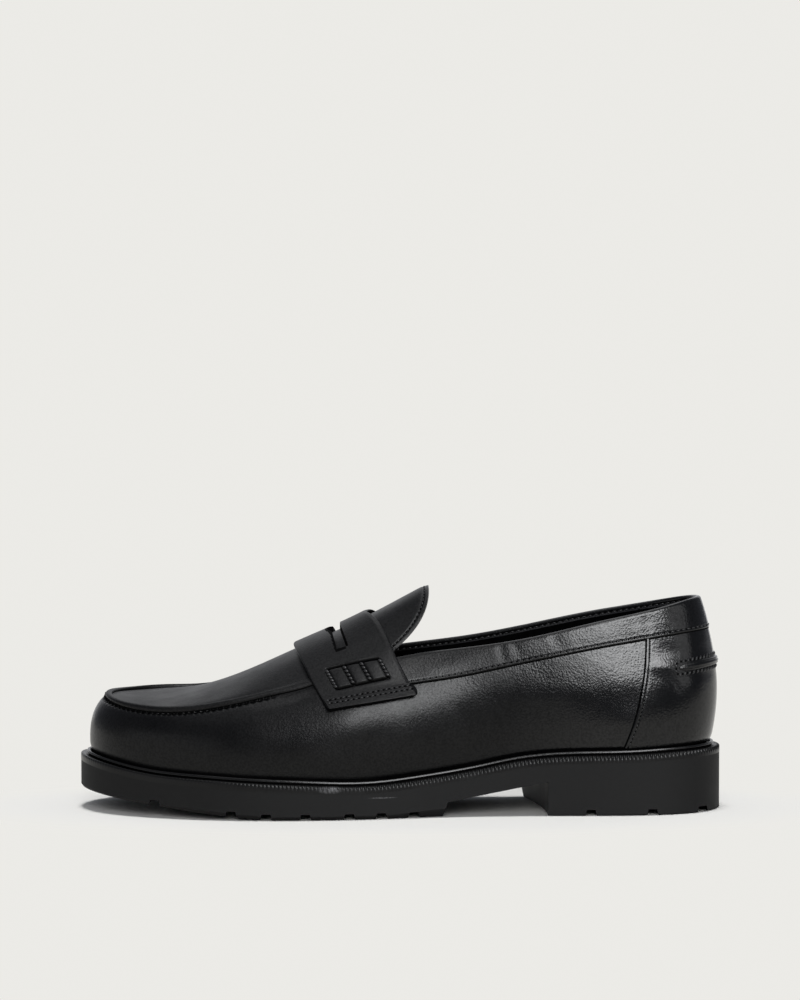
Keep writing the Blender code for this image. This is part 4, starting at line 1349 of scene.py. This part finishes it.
def weltLoops():
    count = int(ringLength * 1.03 / welt["ribPitch"]) * welt["ribColumns"]
    t = np.linspace(0.0, ringLength, count, endpoint=False)
    foot = footAt(t)
    out = outwardAt(t, 0)
    edge = ringAt(t)[:, 7]
    x = foot[:, 0]
    rib = 0.5 - 0.5 * np.cos(2 * np.pi * np.arange(count) / welt["ribColumns"])
    rib *= 1.0 - 0.5 * ease(x, -10.0, 30.0) - 0.35 * ease(x, 40.0, 90.0)  # faint towards the toe
    gap, flange, wide = last["gap"] * 0.4, last["flange"], welt["beadWidth"]
    top = flange + last["bead"] + welt["beadRise"]
    flangePoints = (  # reach past the welt's edge, height over the bed, share of the rib
        (0.0, 0.0, 0.0), (0.0, 0.9, 0.0), (0.0, flange - 1.7, 0.25), (0.0, flange - 0.9, 0.9),
        (-0.12, flange - 0.35, 1.0), (-0.5, flange - 0.02, 1.0), (-1.1, flange + 0.05, 0.8),
    )
    beadPoints = (  # reach out from the upper, height over the bed
        (0.75, flange - welt["groove"]), (0.5, flange + 0.3), (0.65, flange + 0.62),
        (wide - 0.12, flange + 0.70), (wide, flange + 0.86), (wide - 0.03, flange + 1.12),
        (wide - 0.16, top - 0.32), (wide - 0.26, top - 0.14), (wide - 0.45, top - 0.03),
        (wide * 0.45, top), (0.2, top - 0.1), (0.0, top - 0.5), (0.0, flange - 0.5),
    )
    section = [(gap, 0.0, 0.0)]
    section += [(edge + reach, rise, share) for reach, rise, share in flangePoints]
    section += [(gap + reach, rise, 0.0) for reach, rise in beadPoints]
    loop = []
    for reach, rise, share in section:
        row = foot + out * (reach - welt["ribDepth"] * share * rib)[:, None]
        drop = welt["ribDrop"] * share * rib if rise > flange - 1.0 else 0.0
        row[:, 2] = bedAt(row[:, 0]) + last["gap"] + rise - drop
        loop.append(row)
    return np.stack(loop, axis=1)


weltMarks = ((welt["grooveShade"], 1), (welt["shiny"], 2))
weltPiece = sweptStrip("weltStrip", weltLoops(), weltMarks, ring=True, angle=60.0)
dress(weltPiece, weltRubber, "welt_rubber", "welt", more=(rawEdgeAndShade, beadRubber))
print("welt done:", len(weltPiece.data.polygons), "faces")


# outsole: plan outline crossed with the side view, then the arch is cut and the edges softened

sole = {
    "inset": 0.06, "places": 420, "steps": 160, "bevel": 0.5,
    "tuck": 1.2,  # top of the side, hidden behind the welt's edge
    "grooves": (-140.5, -116.5, -88.0, -6.5, 8.5, 23.0, 43.0, 61.0, 77.0, 112.5),
    "grooveWidth": 4.0, "grooveDepth": 2.6, "grooveTaper": 0.6,
    "breast": -63.0, "breastSlant": 0.145, "breastHollow": 2.5, "breastLimit": 1.3, "heelHalfWidth": 35.0,
    "archFront": -19.5, "archChamfer": 2.5, "archLow": 6.7, "archHigh": 14.5,
    "reach": 165.0, "sideReach": 90.0,
    "below": -15.0, "bottom": -10.0, "top": 60.0,  # of the bodies that are crossed and cut
    "undercut": 1.7, "undercutHeel": 0.3, "undercutArch": 3.8, "undercutSlope": 0.8,
}


def soleSide():
    half, taper = sole["grooveWidth"] / 2, sole["grooveTaper"]
    line = [(-sole["reach"], 0.0)]
    for middle in sole["grooves"]:
        low = float(toeSpringAt(middle))
        roof = low + sole["grooveDepth"]
        after = middle + half + taper
        line += [(middle - half - taper, low), (middle - half, roof), (middle + half, roof)]
        line.append((after, float(toeSpringAt(after))))
    for x in np.linspace(percentX(70.0), sole["reach"], 60):
        if min(abs(x - groove) for groove in sole["grooves"]) > half + taper + 0.4:
            line.append((x, float(toeSpringAt(x))))
    x = np.linspace(sole["reach"], -sole["reach"], sole["steps"])
    return np.array(sorted(line) + list(zip(x, bedAt(x) + sole["tuck"])))


t = np.linspace(0.0, ringLength, sole["places"], endpoint=False)
plan = (footAt(t) + outwardAt(t, 0) * (ringAt(t)[:, 7:8] - sole["inset"]))[:, :2]
x = plan[:, 0]
pastHeel = ease(x, -68.0, -60.0)
atToe = 1.0 - 0.6 * ease(x, 90.0, 125.0)
cut = sole["undercutHeel"] + (sole["undercut"] - sole["undercutHeel"]) * pastHeel * atToe
cut += (sole["undercutArch"] - sole["undercut"]) * pastHeel * (1.0 - ease(x, -22.0, 8.0))
tread = plan - outwardAt(t, 0)[:, :2] * (sole["undercutSlope"] * cut)[:, None]
ground = toeSpringAt(x)
solePiece = bodyBetween(
    "soleUnit", np.insert(tread, 2, sole["bottom"], axis=1), np.column_stack([tread, ground]),
    np.column_stack([plan, ground + cut]), np.insert(plan, 2, sole["top"], axis=1),
)
sideWalls = [np.insert(soleSide(), 1, y, axis=1) for y in (-sole["sideReach"], sole["sideReach"])]
cutWith(solePiece, bodyBetween("soleSide", *sideWalls), "INTERSECT")
archLoops = []
front = sole["archFront"] - sole["archChamfer"]
roofSlope = (sole["archHigh"] - sole["archLow"]) / (front - sole["breast"])
for y in np.linspace(-sole["sideReach"], sole["sideReach"], 37):
    share = np.clip(y / sole["heelHalfWidth"], -sole["breastLimit"], sole["breastLimit"])
    slant = sole["breastSlant"] * sole["heelHalfWidth"] * share
    breast = sole["breast"] - slant - sole["breastHollow"] * max(0.0, 1.0 - share**2)
    roof = sole["archLow"] + roofSlope * (front - breast)
    archLoops.append([
        (breast, y, sole["below"]), (breast, y, roof), (front, y, sole["archLow"]),
        (sole["archFront"], y, 0.0), (sole["archFront"], y, sole["below"]),
    ])
cutWith(solePiece, sweptStrip("archCutter", np.array(archLoops)), "DIFFERENCE")
roundEdges(solePiece, sole["bevel"], 2, 35.0)
finishMesh(solePiece, 40.0)
applyModifier(solePiece, "WEIGHTED_NORMAL", keep_sharp=True)
dress(solePiece, soleRubber, "sole_rubber", "outsole")
print("outsole done:", len(solePiece.data.polygons), "faces")


# floor, light and camera

studio = {
    "paper": (0.8355, 0.8276, 0.7960),  # colour of floor and background
    "paperLit": 0.98,  # times that colour, where the shadow falls
    "dim": (0.180, 0.190, 0.215),  # the unlit side of the room
    "tableSize": 12.0,
    "tablePlace": (0.0, -5.25, -0.0002),  # it ends in front of the shoe
    "shadowOval": (0.165, 0.075, 1.0),  # half sizes, a little larger than the sole
    "shadowFade": (0.90, 1.35),
    "keyColour": (0.98, 0.99, 1.0),
    "keyRoll": 22.0,  # its outer end is higher
}
softboxes = {  # place, place that it points at, width, height, radiance
    "backdropLight": ((0.0, -1.6, 0.9), (0.0, 0.0, 0.9), 2.4, 1.8, 0.63),
    "overheadLight": ((0.0, -0.55, 2.0), (0.0, -0.55, 0.0), 2.4, 1.2, 1.5),
    "frontLight": ((0.0, 0.85, 1.9), (0.0, 0.3, 0.0), 2.4, 1.5, 0.36),
    "toeLight": ((1.35, 1.1, 0.12), (0.1, 0.0, 0.06), 1.5, 0.44, 0.75),
    "heelLight": ((-1.9, -0.8, 0.15), (0.0, 0.0, 0.06), 1.6, 0.36, 0.25),
    "strapLight": ((-0.376, 1.311, 1.52), (0.0, 0.0, 0.06), 0.63, 0.49, 8.0),
    "sideLight": ((-1.68, 1.09, 0.65), (0.0, 0.0, 0.06), 0.75, 0.65, 1.1),
    "keyLight": ((-0.806, 1.72, 0.965), (0.0, 0.0, 0.06), 1.28, 0.76, 13.0),
}
suns = {  # energy, softness and tilt in degrees
    "fillLight": (2.10, 12.0, 0.0),  # from straight above, for the floor
    "frontFill": (1.2, 30.0, -65.0),  # and from low in front
}

bpy.ops.object.select_all(action="DESELECT")
bpy.ops.mesh.primitive_plane_add(size=studio["tableSize"], location=studio["tablePlace"])
floor = bpy.context.active_object
bpy.ops.object.transform_apply(location=True)
floor.name = "floor"
paper, tree, shader, place = newMaterial("paper")
away = addOval(tree, place, (0.0, 0.0, 0.0), studio["shadowOval"])
fadeFrom, fadeTo = studio["shadowFade"]
fading = {"Value": away, "From Min": fadeFrom, "From Max": fadeTo}
fade = addNode(tree, "MapRange", fading, interpolation_type="SMOOTHSTEP")
flat = addNode(tree, "Emission", {"Color": (*studio["paper"], 1.0)})
matt = addNode(tree, "BsdfDiffuse", {"Color": (*[studio["paperLit"] * c for c in studio["paper"]], 1.0)})
mix = addNode(tree, "MixShader", {
    "Fac": fade.outputs["Result"], 1: matt.outputs["BSDF"], 2: flat.outputs["Emission"],
})
feed(tree, tree.nodes["Material Output"], {"Surface": mix.outputs["Shader"]})
floor.data.materials.append(paper)

world = bpy.data.worlds.new("studio")
bpy.context.scene.world = world
world.use_nodes = True
tree = world.node_tree
seen = feed(tree, tree.nodes["Background"], {"Color": (*studio["paper"], 1.0)})
unlit = addNode(tree, "Background", {"Color": (*studio["dim"], 1.0)})
path = addNode(tree, "LightPath", {})
mix = addNode(tree, "MixShader", {
    "Fac": path.outputs["Is Camera Ray"], 1: unlit.outputs["Background"], 2: seen.outputs["Background"],
})
feed(tree, tree.nodes["World Output"], {"Surface": mix.outputs["Shader"]})


def softbox(name, place, aim, width, height, radiance):
    light = bpy.data.lights.new(name, "AREA")
    light.shape = "RECTANGLE"
    light.size = width
    light.size_y = height
    light.energy = radiance * math.pi * width * height
    made = addObject(name, light)
    made.location = place
    run = np.array(aim) - np.array(place)
    tilt = math.atan2(math.hypot(run[0], run[1]), -run[2])
    heading = math.atan2(run[1], run[0]) - math.pi / 2
    made.rotation_euler = (tilt, 0.0, heading)
    made.visible_camera = False
    made.visible_diffuse = False  # seen only as a reflection
    return made


lights = {name: softbox(name, *sizes) for name, sizes in softboxes.items()}
key = lights["keyLight"]
key.data.color = studio["keyColour"]
roll = Matrix.Rotation(math.radians(studio["keyRoll"]), 3, "Z")
key.rotation_euler = (key.rotation_euler.to_matrix() @ roll).to_euler()

for name, (energy, softness, tilt) in suns.items():
    sun = bpy.data.lights.new(name, "SUN")
    sun.energy = energy
    sun.angle = math.radians(softness)
    made = addObject(name, sun)
    made.rotation_euler = (math.radians(tilt), 0.0, 0.0)
    made.visible_glossy = False

view = {"eye": (0.0, 1.6, 0.215), "aim": (0.0, 0.0, 0.1437), "lens": 123.07, "sensor": 36.0}
lens = bpy.data.cameras.new("camera")
lens.lens = view["lens"]
lens.sensor_width = view["sensor"]
camera = addObject("camera", lens)
camera.location = view["eye"]
drop = math.atan2(view["eye"][2] - view["aim"][2], view["eye"][1] - view["aim"][1])
camera.rotation_euler = (math.pi / 2 - drop, 0.0, math.pi)
bpy.context.scene.camera = camera
bpy.context.scene.view_settings.view_transform = "Standard"
print("studio done")
